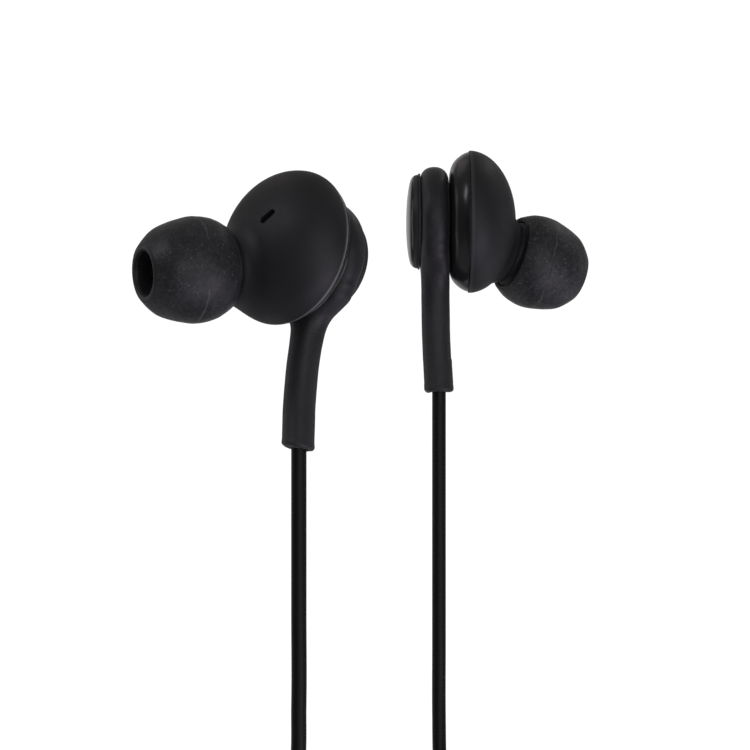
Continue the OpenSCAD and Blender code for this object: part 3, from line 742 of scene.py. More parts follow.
LX, LY = 7.2, 11.5
RX, RY = -7.65, -16.2
SLOTS = [(6.4, 0.1), (8.5, 0.1), (8.5, -2.0), (6.4, -2.0), (6.4, -4.1), (8.5, -4.1)]
main_keys = [(1.2, 5.2, 1.0), (2.0, 6.4, 0.1)]
for j, (r, y) in enumerate(SLOTS):
    if j:
        main_keys.append((4 * j + 2.0, r, y))
    main_keys.append((4 * j + 5.0, r, y))
ROUTES = {
    "left": ([[LX, LY, -1.0], [LX, LY, -9], [LX, LY, -20], [LX, LY, -31], [LX, LY, -38.2], [7.3, 10.4, -44.0],
              [7.9, 6.4, -48.8], [9.0, 2.6, -52.4]]
             + laps(0.0, 7.02, [(0, 10.35, 0.8), (3, 10.35, 0.8), (4, 10.35, -0.75), (7.2, 10.35, -0.75)])
             + [[-9.9, -0.5, -54.4], [-9.0, 0.5, -50.8], [-6.4, 1.8, -48.2], [-3.2, 3.2, -47.2], [-0.2, 4.4, -47.8],
                [1.7, 4.9, -50.2], [2.3, 4.9, -53.3], [2.3, 4.9, -58.5]], BR),
    "right_upper": ([[RX, RY, -6.6], [RX, RY, -15], [RX, RY, -24], [RX, RY, -33], [-7.9, -16, -40], [-10.2, -14, -47],
                     [-13.4, -10.2, -54], [-15.1, -8.1, -61], [-15.2, -8, -72], [-15.2, -8, -83], [-15.2, -7.9, -90.6],
                     [-15.2, -6.4, -95.2], [-15.2, -2.5, -97.1], [-15.2, 1.4, -95.2], [-15.2, 2.9, -90.6],
                     [-15.2, 3, -84.5]], BR),
    "right_lower": ([[-15.2, 3, -53.5], [-15.2, 3, -49.5], [-14.3, 2.4, -46.2], [-11.5, 0.9, -44], [-8, -0.8, -44.1],
                     [-5.4, -1.8, -45.8]]
                    + laps(3.42, 7.02, [(3.4, 10.35, -2.3), (7.2, 10.35, -2.3)])
                    + [[-10.45, -2.1, -54.2], [-10.3, -1.2, -50], [-8.4, 1.2, -46.6], [-5, 3.2, -44.6], [-0.6, 4.6, -43.9],
                       [3, 4.9, -46.2], [4.6, 4.9, -50], [4.7, 4.9, -53.3], [4.7, 4.9, -58.5]], BR),
    "main": ([[3.5, 4.9, -71.0], [3.5, 4.9, -79], [3.9, 4.8, -86.5], [4.5, 3.8, -93], [4.35, 1.8, -98.2]]
             + laps(1.42, 24.03, main_keys)
             + [[9.4, -4.1, -61.5], [12, -4.1, -67], [14.1, -3.5, -73], [15.1, -2.5, -79], [15.3, -2, -84],
                [15.3, -2, -88.8]], MR),
}
STEP = 0.8


def settle_strands():
    """Lays the strands on each other: touching points push apart, each strand
    keeps its length and stays near its route, and bends stay smooth."""
    from mathutils.kdtree import KDTree

    strands = {k: evenly(p, STEP) for k, (p, r) in ROUTES.items()}
    names = list(strands)
    pos = np.concatenate([strands[k] for k in names])
    home = pos.copy()
    rad = np.concatenate([np.full(len(strands[k]), ROUTES[k][1]) for k in names])
    sid = np.concatenate([np.full(len(strands[k]), i) for i, k in enumerate(names)])
    idx = np.concatenate([np.arange(len(strands[k])) for k in names])
    first = np.cumsum([0] + [len(strands[k]) for k in names])
    fixed = (pos[:, 2] > -42.6)
    for i, k in enumerate(names):
        fixed[first[i]:first[i] + 3] = True
        fixed[first[i + 1] - 4:first[i + 1]] = True
    # a little slack and unevenness, so that the turns aren't machine made
    loose = ~fixed
    wob = np.stack([vnoise(pos * 0.07 + sid[:, None] * 7.3, 1, 5 + a) for a in range(3)], 1)
    fade = smoothstep(-47, -56, pos[:, 2])
    pos = pos + wob * np.array([0.35, 0.3, 0.35]) * (fade * loose)[:, None]
    rounds = 60
    for it in range(rounds):
        tree = KDTree(len(pos))
        for i, p in enumerate(pos):
            tree.insert(p, i)
        tree.balance()
        push = np.zeros_like(pos)
        cnt = np.zeros(len(pos))
        for i in range(len(pos)):
            if pos[i, 2] > -43:
                continue
            for _, j, d in tree.find_range(pos[i], rad[i] + 1.0):
                if j <= i:
                    continue
                if sid[i] == sid[j] and abs(idx[i] - idx[j]) * STEP < 3.2:
                    continue
                need = rad[i] + rad[j] + 0.03
                if d < need:
                    n = (pos[i] - pos[j]) / max(d, 1e-6)
                    push[i] += n * (need - d) * 0.5
                    push[j] -= n * (need - d) * 0.5
                    cnt[i] += 1
                    cnt[j] += 1
        pos = pos + push / np.maximum(cnt, 1)[:, None] * 1.25 * loose[:, None]
        last = it >= rounds - 6
        for i, k in enumerate(names):
            a, b = first[i], first[i + 1]
            p = pos[a:b]
            lo = loose[a:b, None]
            if not last:
                h = home[a:b]
                p = p + (h - p) * 0.03 * lo
            for _ in range(2):
                q = p.copy()
                q[2:-2] = (-p[:-4] + 4 * p[1:-3] + 10 * p[2:-2] + 4 * p[3:-1] - p[4:]) / 16
                q[1:-1] = 0.85 * q[1:-1] + 0.15 * (q[:-2] + q[2:]) / 2
                p = p + (q - p) * lo * (0.9 if not last else 0.5)
            for _ in range(3):
                d = np.diff(p, axis=0)
                ln = np.linalg.norm(d, axis=1, keepdims=True)
                c = d * (1 - STEP / ln) * 0.5 * 0.5
                p[:-1] += c * lo[:-1]
                p[1:] -= c * lo[1:]
            pos[a:b] = p
    return {k: pos[first[i]:first[i + 1]] for i, k in enumerate(names)}


def curve_object(name, pts_mm, radius_mm, body, mat, res=7):
    cu = bpy.data.curves.new(name, "CURVE")
    cu.dimensions = "3D"
    cu.bevel_depth = radius_mm * 0.001
    cu.bevel_resolution = res
    cu.use_fill_caps = True
    cu.twist_mode = "MINIMUM"
    sp = cu.splines.new("POLY")
    pts = row(pts_mm)
    sp.points.add(len(pts) - 1)
    sp.points.foreach_set("co", np.concatenate([pts, np.ones((len(pts), 1))], 1).ravel())
    sp.use_smooth = True
    ob = bpy.data.objects.new(name, cu)
    bpy.context.scene.collection.objects.link(ob)
    cu.materials.append(mat)
    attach(ob, body)
    return ob


STRANDS = settle_strands()


def length_m(p):
    return float(np.linalg.norm(np.diff(p, axis=0), axis=1).sum() * 0.001)


left_cord = curve_object("left_branch_cord", STRANDS["left"], BR, "harness", CORD)
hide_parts("left_cord", "left_cord_end", "cord_hank")
right_cord = curve_object("right_branch_cord_upper", STRANDS["right_upper"], BR, "harness", CORD)
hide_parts("right_cord_upper")
right_low = curve_object("right_branch_cord_lower", STRANDS["right_lower"], BR, "harness", CORD)
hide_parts("right_cord_lower", "right_cord_end", "cord_hank")
main_cord = curve_object("main_cord", STRANDS["main"], MR, "harness", CORD)
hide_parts("main_cord_start", "main_cord_end", "cord_hank")
CORD_LENGTHS = {k: length_m(v) for k, v in STRANDS.items()}


# ------------------------------------------------------------------ bud pieces
def smin(a, b, k):
    h = np.clip(0.5 + 0.5 * (b - a) / k, 0, 1)
    return b * (1 - h) + a * h - k * h * (1 - h)


def smax(a, b, k):
    return -smin(-a, -b, k)


def ellipsoid(p, r):
    k0 = np.sqrt(((p / r) ** 2).sum(1))
    k1 = np.sqrt(((p / r**2) ** 2).sum(1))
    return k0 * (k0 - 1) / np.maximum(k1, 1e-6)


def gradient(field, v, eps=0.012):
    g = np.stack([(field(v + d) - field(v - d)) / (2 * eps)
                  for d in (np.array([eps, 0, 0]), np.array([0, eps, 0]), np.array([0, 0, eps]))], 1)
    return g / np.maximum(np.linalg.norm(g, axis=1, keepdims=True), 1e-6)


def true_normals(ob, side, field):
    """Shades a netted surface with the slope of the field it was cut from."""
    me = ob.data
    co = np.empty(len(me.vertices) * 3)
    me.vertices.foreach_get("co", co)
    g = gradient(field, row_to_bud(side, co.reshape(-1, 3)))
    pos, m, flip = POSE[side]
    if flip:
        g = g * np.array([-1, 1, 1])
    me.normals_split_custom_set_from_vertices([tuple(n) for n in g @ m.T])


# ---- front shell: a dome, its neck, the nozzle's barrel and the vent slot
DOME = np.array([5.38, 8.08, 8.08])
VENT = (np.array([5.147, -1.339, 1.896]), unit([-0.191, -0.676, 0.661]), unit([0.979, -0.116, 0.164]))


def slot_field(p):
    a = p - VENT[0]
    along, deep = a @ VENT[1], a @ VENT[2]
    across = a - along[:, None] * VENT[1] - deep[:, None] * VENT[2]
    slot = np.sqrt(np.maximum(np.abs(along) - 0.56, 0) ** 2 + (across**2).sum(1)) - 0.35
    return np.maximum(slot, np.abs(deep) - 1.6)


def vent_mesh_field(p):
    """The screen: a thin patch of the dome's curve, across the slot."""
    layer = np.maximum(ellipsoid(p, DOME - 0.46), -ellipsoid(p, DOME - 0.58))
    return np.maximum(layer, slot_field(p) + 0.005)


def shell_field(p, edge=(0.36, 0.16)):
    q = p - SKIRT
    z = q @ NDIR
    rr = np.linalg.norm(q - z[:, None] * NDIR, axis=1)
    rad = np.hypot(p[:, 1], p[:, 2])
    neck = smax(rr - (3.62 - 0.34 * np.minimum(z, 0.0)), z - 0.02, 0.6)
    flare = 3.46 + 0.44 * smoothstep(0.22, 0.72, z)
    neck = smin(neck, np.maximum(np.maximum(rr - flare, z - 0.96), -z - 2.6), 0.12)
    neck = np.maximum(neck, -z - 2.6)
    body = smin(ellipsoid(p, DOME), neck, 1.0)
    barrel = np.maximum(smax(rr - 2.5, z - 4.6, 0.2), -z - 2.0)
    lip = smax(rr - 2.6, np.abs(z - 4.2) - 0.3, 0.1)
    body = np.minimum(smin(body, barrel, 0.3), lip)
    chamfer = (rad - 8.07) * 0.966 + (edge[0] - p[:, 0]) * 0.259
    body = smax(smax(body, chamfer, edge[1]), -p[:, 0], edge[1])
    hollow = np.minimum(ellipsoid(p, DOME - np.array([0.6, 0.77, 0.77])), np.maximum(rad - 7.2, p[:, 0] - 0.65))
    bore = np.maximum(rr - 1.95, -z - 2.6)
    slot = slot_field(p)
    d = smax(body, -np.minimum(hollow, bore), 0.06)
    return smax(d, -slot, 0.05)


def front_shell(side):
    # the two mouldings differ a little in how far their rim is broken
    edge = (0.28, 0.14) if side == "right" else (0.08, 0.06)
    field = lambda p: shell_field(p, edge)
    v, f = surface_net(field, [-0.25, -8.45, -8.45], [9.3, 8.45, 8.45], 0.1)
    v = project_to(field, v, 4)
    ob = new_object(side + "_front_shell_body", bud_to_row(side, v), f, side + "_bud")
    true_normals(ob, side, field)
    co = np.empty(len(ob.data.vertices) * 3)
    ob.data.vertices.foreach_get("co", co)
    # mask for the painted highlight on the broken rim: full on the right bud, faint on the left
    rim = smoothstep(0.46, 0.22, row_to_bud(side, co.reshape(-1, 3))[:, 0]) * (1.0 if side == "right" else 0.2)
    ob.data.attributes.new("rim", "FLOAT", "POINT").data.foreach_set("value", rim.astype(np.float32))
    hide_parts(side + "_front_shell")
    return assign(ob, MATTE)


def vent_screen(side):
    c = VENT[0]
    v, f = surface_net(vent_mesh_field, c - 1.5, c + 1.5, 0.06)
    v = project_to(vent_mesh_field, v, 2)
    ob = new_object(side + "_vent_screen_mesh", bud_to_row(side, v), f, side + "_bud", sharp=40)
    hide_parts(side + "_vent_screen")
    return assign(ob, MESH)


def rear_shell(side):
    outer = [(4.4, -2.3), (4.41, -2.24), (4.55, -2.2), (5.0, -2.185), (5.55, -2.15), (6.1, -2.02), (6.5, -1.86),
             (6.85, -1.63), (7.15, -1.36), (7.4, -1.06), (7.62, -0.75), (7.78, -0.45), (7.87, -0.2), (7.9, -0.1)]
    s = np.concatenate([[0], np.cumsum(np.linalg.norm(np.diff(outer, axis=0), axis=1))])
    fine = spline(s, outer, np.linspace(0, s[-1], 60))
    prof = ([(0.8, -3.1), (2.93, -3.1), (2.95, -3.06), (2.95, -2.32), (2.97, -2.3)] + [tuple(p) for p in fine]
            + [(7.895, -0.05), (7.87, -0.015), (7.8, 0.0), (7.15, 0.0), (7.13, 0.03), (7.1, 0.47), (7.07, 0.5), (6.7, 0.5),
               (6.7, -0.5), (6.2, -1.0), (5.4, -1.35), (0.8, -1.35)])
    v, f = lathe(prof, axis_frame(side), 160, closed=True)
    ob = new_object(side + "_rear_shell_body", v, f, side + "_bud", sharp=38)
    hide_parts(side + "_rear_shell")
    return assign(ob, GLOSS)


def rear_cap(side):
    dome = [(0, -7.06), (0.7, -7.055), (1.4, -7.035), (2.5, -6.965), (3.4, -6.865), (4.0, -6.77), (4.4, -6.685), (4.6, -6.63)]
    s = np.concatenate([[0], np.cumsum(np.linalg.norm(np.diff(dome, axis=0), axis=1))])
    fine = spline(s, dome, np.linspace(0, s[-1], 48))
    fine[0] = [0, -7.06]
    side_wall = round_profile([(4.6, -6.63), (4.78, -6.56), (4.94, -6.47), (5.08, -6.35), (5.19, -6.2), (5.27, -6.03), (5.33, -5.84), (5.28, -5.80), (5.28, -5.76), (5.4, -5.73),
                               (5.45, -5.66), (5.45, -5.56), (5.4, -5.52), (4.75, -5.52), (4.75, -4.92), (4.72, -4.9),
                               (4.15, -4.9), (4.15, -5.7), (0, -6.1)], 0.03, 3)
    prof = np.concatenate([fine[:-1], side_wall])
    v, f = lathe(prof, axis_frame(side), 160)
    ob = new_object(side + "_rear_cap_body", v, f, side + "_bud", sharp=42)
    co = np.empty(len(ob.data.vertices) * 3)
    ob.data.vertices.foreach_get("co", co)
    q = row_to_bud(side, co.reshape(-1, 3))
    wall = smoothstep(5.02, 5.20, np.hypot(q[:, 1], q[:, 2]))
    ob.data.attributes.new("wall", "FLOAT", "POINT").data.foreach_set("value", wall.astype(np.float32))
    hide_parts(side + "_rear_cap")
    return assign(ob, CAP)


# ---- stem housing: disc and stem as one core, grown by the half thickness
STEM = np.array([[-3.4, -3.92, -0.36, 1.6, 4.2], [-4.4, -3.87, -0.4, 1.6, 4.2], [-5.0, -3.83, -0.45, 1.6, 3.6],
                 [-5.6, -3.79, -0.52, 1.6, 2.95],
                 [-6.1, -3.77, -0.58, 1.6, 2.45], [-6.6, -3.75, -0.65, 1.6, 2.15], [-7.6, -3.735, -0.73, 1.6, 1.8],
                 [-9, -3.72, -0.74, 1.6, 1.64], [-10.8, -3.69, -0.78, 1.6, 1.6], [-13.5, -3.63, -1.03, 1.6, 1.6],
                 [-16, -3.52, -1.42, 1.6, 1.6], [-18, -3.42, -1.85, 1.6, 1.6], [-20.6, -3.303, -2.4, 1.6, 1.6]])[::-1]
DROP = {"left": 19.35, "right": 20.0}
CORD_AXIS = {"left": (LX, LY, -1.87), "right": (RX, RY, -7.42)}


def stem_field(side):
    drop = DROP[side]
    tv = np.linspace(-20.6, -3.4, 345)
    table = spline(STEM[:, 0], STEM[:, 1:], tv)
    pos, m, flip = POSE[side]
    cx, cy, cz = CORD_AXIS[side]

    def field(p):
        u, s, v = p[:, 0], p[:, 1], p[:, 2]
        r = np.sqrt(s**2 + v**2)
        k = np.clip((v - tv[0]) / (tv[1] - tv[0]), 0, len(tv) - 1.001)
        i = k.astype(int)
        f = (k - i)[:, None]
        row_ = table[i] * (1 - f) + table[i + 1] * f
        du, ds = (u - row_[:, 0]), (s - row_[:, 1])
        strip = np.abs(ds) - np.maximum(row_[:, 3] - 1.6, 0) + np.maximum(v + 3.0, 0)
        core = smin(r - 4.6, strip, 2.0)
        # the tube itself is slightly squarish where it is narrow
        body = (np.maximum(core, 0) ** 2.25 + np.abs(du) ** 2.25) ** (1 / 2.25) - 1.605
        ang = np.arctan2(ds, du)
        # the sleeve's cut end: soft corners, a burr and a nick
        a0 = 2.5 if side == "right" else 2.7
        burr = 0.17 * np.clip(np.cos(ang - a0), 0, 1) ** 12
        nick = 0.10 * np.clip(np.cos(ang - a0 + 1.5), 0, 1) ** 8
        rag = 0.025 * np.sin(3 * ang + 0.6) + 0.02 * np.sin(7 * ang + 2.1)
        end = -v - drop + rag - burr + nick
        d = smax(body, end, 0.45)
        d = d - 0.03 * np.exp(-((v + drop - 0.45) / 0.3) ** 2)
        if side == "left":
            # small flash step on one side of the sleeve
            d = d - smoothstep(-15.6, -15.8, v) * np.clip(np.cos(ang - 0.35), 0, 1) ** 2 * 0.08
        # recess under the cap
        ax = np.stack([r - 4.82, -(u + 6.6), u + 4.85], 1).max(1)
        d = np.maximum(d, -ax)
        ax = np.stack([r - 4.4, -(u + 6.6), u + 3.1], 1).max(1)
        d = np.maximum(d, -ax)
        ax = np.stack([r - 3.0, -(u + 6.6), u + 2.0], 1).max(1)
        d = np.maximum(d, -ax)
        # cord hole
        w = p * np.array([-1, 1, 1]) if flip else p
        w = w @ m.T + pos
        cr = np.sqrt((w[:, 0] - cx) ** 2 + (w[:, 1] - cy) ** 2)
        funnel = 0.84 + 0.2 * np.exp(-np.maximum(w[:, 2] - cz, 0) / 0.3)
        hole = np.maximum(cr - funnel, w[:, 2] - (cz + 1.7))
        return smax(d, -hole, 0.08)

    return field


def stem_housing(side):
    field = stem_field(side)
    step = 0.105
    v, f = surface_net(field, [-6.0, -6.8, -DROP[side] - 0.9], [-1.7, 6.8, 6.8], step)
    v = project_to(field, v, 3)
    # uneven skin, as soft-touch paint over a moulding
    g = gradient(field, v)
    seed = 11 if side == "left" else 23
    bumpy = vnoise(v, 0.9, seed) * 0.010 + vnoise(v, 2.6, seed + 1) * 0.004
    lower = smoothstep(-DROP[side] + 2.2, -DROP[side] + 0.3, v[:, 2])
    bumpy = bumpy + lower * (vnoise(v, 3.4, seed + 2) * 0.02 + vnoise(v, 8.0, seed + 3) * 0.008)
    v = v + g * bumpy[:, None]
    ob = new_object(side + "_stem_housing_body", bud_to_row(side, v), f, side + "_bud", sharp=60)
    # painted highlight: the edge round the cap is painted paler on the right bud (faintly on the left), standing in for
    # light from behind catching it
    co = np.empty(len(ob.data.vertices) * 3)
    ob.data.vertices.foreach_get("co", co)
    q = row_to_bud(side, co.reshape(-1, 3))
    edge = (smoothstep(-4.75, -5.05, q[:, 0]) * smoothstep(4.7, 5.1, np.hypot(q[:, 1], q[:, 2])) * smoothstep(-6.5, -5.0, q[:, 2])
            * (1.0 if side == "right" else 0.15))
    ob.data.attributes.new("painted_cap_edge_highlight", "FLOAT", "POINT").data.foreach_set("value", edge.astype(np.float32))
    # mask that makes the stem paler towards its lower end
    paler_lower_stem = smoothstep(-7.5, -12.5, q[:, 2])
    ob.data.attributes.new("paler_lower_stem", "FLOAT", "POINT").data.foreach_set("value", paler_lower_stem.astype(np.float32))
    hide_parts(side + "_stem_housing")
    return assign(ob, SOFT)


# ---- ear tip
TIP_OUT = [(4.33, 0.45), (4.63, 0.95), (4.95, 1.6), (5.22, 2.67), (5.29, 3.9), (5.08, 5.13), (4.76, 6.36), (4.3, 7.49),
           (3.45, 8.51), (2.92, 9.0)]
TIP_OUT = [(r * 1.015, z) for r, z in TIP_OUT]
SEAM_DARK = {  # how deep the parting line's groove is, round the tip, and how dark the groove is painted: painted shade in the groove
    "right": [(0, .2), (60, .5), (100, .7), (112, .75), (140, .7), (152, .3), (160, .06), (198, .04), (203, .95), (208, .35),
              (215, .12), (245, .1), (300, .3), (360, .2)],
    "left": [(0, .2), (60, .3), (110, .25), (138, .3), (150, .55), (168, .7), (180, 1.0), (206, 1.0), (212, .35), (235, .2),
             (260, .1), (300, .3), (360, .2)]}
SEAM_LIGHT = {  # dust beside it, on the mouth's side (+) or the skirt's (-)
    "right": [(0, 0), (95, -.9), (125, -.8), (146, -.6), (155, 0), (205, 0), (212, .8), (225, 1.0), (248, 1.0), (262, .6), (300, 0),
              (360, 0)],
    "left": [(0, 0), (112, .5), (135, .6), (150, -.6), (172, -.8), (186, -.2), (215, .1), (235, .7), (256, .8), (290, 0),
             (360, 0)]}
SEAMS = {  # parting line: (angle, height)
    "right": [(0, 3.8), (60, 3.75), (112.5, 3.74), (131.8, 3.77), (147.5, 3.99), (160, 4.01), (180, 4.06), (203, 4.14),
              (218, 4.15), (241, 4.11), (300, 3.9), (360, 3.8)],
    "left": [(0, 3.8), (70, 3.7), (121.5, 3.58), (150, 3.65), (169, 3.56), (184.5, 3.55), (201, 3.63), (213, 3.61),
             (237, 4.13), (290, 3.9), (360, 3.8)],
}


def ear_tip(side):
    s = np.concatenate([[0], np.cumsum(np.linalg.norm(np.diff(TIP_OUT, axis=0), axis=1))])
    n_out = 150
    fine = spline(s, TIP_OUT, np.linspace(0, s[-1], n_out))
    mouth = round_profile([tuple(fine[-1]), (2.6, 9.13), (2.36, 9.06), (2.22, 8.75), (2.2, 8.2), (2.2, 5.05), (2.23, 5.0),
                           (2.62, 5.0), (2.65, 4.97), (2.65, 1.04), (2.68, 1.0), (3.16, 1.0), (3.2, 1.05), (3.25, 6.6)], 0.05, 3)
    skirt = [(3.25, 6.6), (3.4, 6.83), (3.6, 6.85), (3.9, 6.55), (4.15, 6.1), (4.5, 5.13), (4.7, 3.9), (4.66, 3.2),
             (4.62, 2.67), (4.42, 1.7), (4.1, 1.0)]
    sk = spline(np.arange(len(skirt)), skirt, np.linspace(0, len(skirt) - 1, 60))
    rim = round_profile([tuple(sk[-1]), (3.93, 0.56), (3.97, 0.44), (4.25, 0.38), (4.36, 0.42), (4.395, 0.45)], 0.08, 4)
    prof = np.concatenate([fine[:-1], mouth[:-1], sk[:-1], rim[:-1]])
    m = 220
    ang = np.linspace(0, 2 * math.pi, m, endpoint=False)
    P, A = np.meshgrid(np.arange(len(prof)), np.arange(m), indexing="ij")
    R, Z = prof[P, 0], prof[P, 1]
    deg = np.degrees(ang[A]) % 360
    t = np.array(SEAMS[side])
    line = spline(t[:, 0], t[:, 1], deg.ravel())[:, 0].reshape(deg.shape)
    line = line + 0.035 * np.sin(np.radians(deg) * 9 + 1.0) + 0.02 * np.sin(np.radians(deg) * 23)
    outer = (P < n_out - 1)
    seed = 41 if side == "left" else 57
    pts = np.stack([R * np.cos(ang[A]), R * np.sin(ang[A]), Z], -1).reshape(-1, 3)
    td, tl = np.array(SEAM_DARK[side]), np.array(SEAM_LIGHT[side])
    flat = deg.ravel()
    dark = np.interp(flat, td[:, 0], td[:, 1]) * np.clip(0.85 + 0.45 * vnoise(pts, 1.3, seed), 0, 1.2)
    light = np.interp(flat, tl[:, 0], tl[:, 1]) * np.clip(0.8 + 0.7 * vnoise(pts, 2.1, seed + 9), 0, 1.2)
    dark, light = dark.reshape(R.shape), light.reshape(R.shape)
    d = (Z - line)
    # groove: cut a little into the wall below, and painted dark in the material as shade in the groove
    groove = np.exp(-(d / 0.05) ** 2) * dark * outer
    flank = np.exp(-((d - 0.13 * np.sign(light)) / 0.07) ** 2) * np.abs(light) * outer
    # the soft wall is never quite round
    wav = 0.03 * np.sin(2 * ang[A] + 0.7 + Z * 0.2) + 0.02 * np.sin(3 * ang[A] + 2.0)
    wav = wav * smoothstep(4.0, 0.0, Z) * (R > 3.3)
    nz = vnoise(pts, 1.6, seed + 2).reshape(R.shape) * 0.012 + vnoise(pts, 4.5, seed + 3).reshape(R.shape) * 0.005
    R2 = R - 0.04 * groove + 0.012 * flank + wav + nz * outer
    v = np.stack([R2 * np.cos(ang[A]), R2 * np.sin(ang[A]) - 0.011 * Z, Z], -1).reshape(-1, 3)
    rowv = nozzle_frame(side)(v)
    f = grid_faces(len(prof), m, close_u=True)
    me = bpy.data.meshes.new(side + "_ear_tip_body")
    me.from_pydata([tuple(map(float, p)) for p in rowv], [], f)
    me.update()
    dust = outer * (0.70 if side == "right" else 1.0)
    for nm, val in (("seam", groove), ("seamlight", flank), ("dust", dust)):
        a = me.attributes.new(nm, "FLOAT", "POINT")
        a.data.foreach_set("value", val.ravel().astype(np.float32))
    bm = bmesh.new()
    bm.from_mesh(me)
    bmesh.ops.recalc_face_normals(bm, faces=bm.faces)
    bm.to_mesh(me)
    bm.free()
    me.polygons.foreach_set("use_smooth", [True] * len(me.polygons))
    ob = bpy.data.objects.new(side + "_ear_tip_body", me)
    bpy.context.scene.collection.objects.link(ob)
    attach(ob, side + "_tip")
    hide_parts(side + "_ear_tip")
    return assign(ob, SILI)


for side in ("left", "right"):
    front_shell(side)
    vent_screen(side)
    rear_shell(side)
    rear_cap(side)
    stem_housing(side)
    ear_tip(side)


# ------------------------------------------------------------------ remote, fork sleeve, plug, tie
REMOTE_AT = np.array([-17.8, 3.0, -69.0])
FORK_AT = np.array([3.5, 4.9, -73.0])
PLUG_AT = np.array([15.3, -2.0, -110.0])


def cut_piece(name, field, lo, hi, step, at, node, mat, body="harness", sharp=50):
    """A piece netted from its field, in a frame of its own at `at`."""
    v, f = surface_net(field, lo, hi, step)
    v = project_to(field, v, 4, 0.008)
    ob = new_object(name, row(v + at), f, body, sharp=sharp)
    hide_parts(node)
    return assign(ob, mat)


def turned(name, profile, at, node, mat, m=72, sharp=35):
    v, f = lathe(profile, lambda q: row(q + at), m)
    ob = new_object(name, v, f, "harness", sharp=sharp)
    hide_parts(node)
    return assign(ob, mat)


# ---- remote: two moulded covers, three keys
def remote_outline(p):
    return np.hypot(p[:, 1], np.maximum(np.abs(p[:, 2]) - 13.5, 0)) - 3.5


def round_box2(a, b, ha, hb, r):
    qa, qb = np.abs(a) - ha + r, np.abs(b) - hb + r
    return np.hypot(np.maximum(qa, 0), np.maximum(qb, 0)) + np.minimum(np.maximum(qa, qb), 0) - r


def remote_body(p):
    d2 = remote_outline(p)
    crown = 2.6 - 0.10 * (p[:, 1] / 3.5) ** 2
    face = np.abs(p[:, 0] - 2.6) - crown
    d = smax(d2, face, 1.5)
    cavity = np.maximum(d2 + 0.8, np.abs(p[:, 0] - 2.6) - 1.8)
    return d, cavity, d2


def remote_holes(p, d):
    end = np.hypot(p[:, 0] - 2.6, p[:, 1]) - (0.83 + 0.25 * np.exp(-np.maximum(17.0 - np.abs(p[:, 2]), 0) / 0.35))
    return smax(d, -np.maximum(end, 12.0 - np.abs(p[:, 2])), 0.12)


def remote_front_field(p):
    d, cavity, d2 = remote_body(p)
    d = smax(d, p[:, 0] - 2.76, 0.14)
    # fine line round the key panel
    line = np.hypot(d2 + 1.0, p[:, 0]) - 0.16
    d = smax(d, -line, 0.06)
    d = np.maximum(d, -cavity)
    for z in (8.2, 0, -8.2):
        d = smax(d, -np.maximum(round_box2(p[:, 1], p[:, 2] - z, 1.9, 2.8, 0.95), p[:, 0] - 2.0), 0.16)
    return remote_holes(p, d)


def remote_back_field(p):
    d, cavity, d2 = remote_body(p)
    d = smax(d, 2.84 - p[:, 0], 0.14)
    d = np.maximum(d, -cavity)
    mic = np.hypot(p[:, 1], p[:, 2] + 12.6) - (0.4 + 0.35 * np.exp(-np.maximum(5.2 - p[:, 0], 0) / 0.2))
    d = smax(d, -np.maximum(mic, 4.0 - p[:, 0]), 0.08)
    # two shallow grip lines on the back
    for z in (-6.5, 6.5):
        d = smax(d, -(np.hypot(p[:, 2] - z, (p[:, 0] - 5.17)) - 0.2), 0.08)
    return remote_holes(p, d)


cut_piece("remote_front_cover_body", remote_front_field, [-0.2, -3.8, -17.4], [2.95, 3.8, 17.4], 0.13, REMOTE_AT,
          "remote_front_cover", REMOTE)
cut_piece("remote_back_cover_body", remote_back_field, [2.6, -3.8, -17.4], [5.4, 3.8, 17.4], 0.13, REMOTE_AT,
          "remote_back_cover", REMOTE)


def key_field(kind):
    def field(p):
        x, y, z = p[:, 0], p[:, 1], p[:, 2]
        flat = round_box2(y, z, 1.8, 2.7, 0.85)
        if kind == "play":
            top = -0.42 + 0.16 * np.exp(-((y / 1.1) ** 2 + (z / 1.7) ** 2))
        else:
            top = -0.42 + 0.14 * (y / 1.8) ** 2 + 0.05 * (z / 2.7) ** 2
        d = smax(flat, top - x, 0.35)
        if kind == "up":
            mark = np.minimum(round_box2(y, z, 0.72, 0.13, 0.12), round_box2(y, z, 0.13, 0.72, 0.12))
        elif kind == "down":
            mark = round_box2(y, z, 0.72, 0.13, 0.12)
        else:
            mark = np.hypot(y, z) - 0.3
        if kind == "play":
            d = smin(d, smax(mark, -0.40 - x, 0.08), 0.06)
        else:
            d = smax(d, -smax(mark, x + 0.30, 0.03), 0.05)
        d = np.maximum(d, x - 0.9)
        flange = np.maximum(round_box2(y, z, 2.3, 3.2, 0.9), np.abs(x - 1.0) - 0.15)
        post = np.maximum(np.hypot(y, z) - 0.8, np.abs(x - 1.3) - 0.2)
        return np.minimum(d, np.minimum(flange, post))
    return field


for node, z, kind in (("volume_up_key", 8.2, "up"), ("play_key", 0.0, "play"), ("volume_down_key", -8.2, "down")):
    cut_piece(node + "_body", key_field(kind), [-0.65, -2.5, -3.4], [1.65, 2.5, 3.4], 0.09, REMOTE_AT + np.array([0, 0, z]),
              node, KEYS, node)


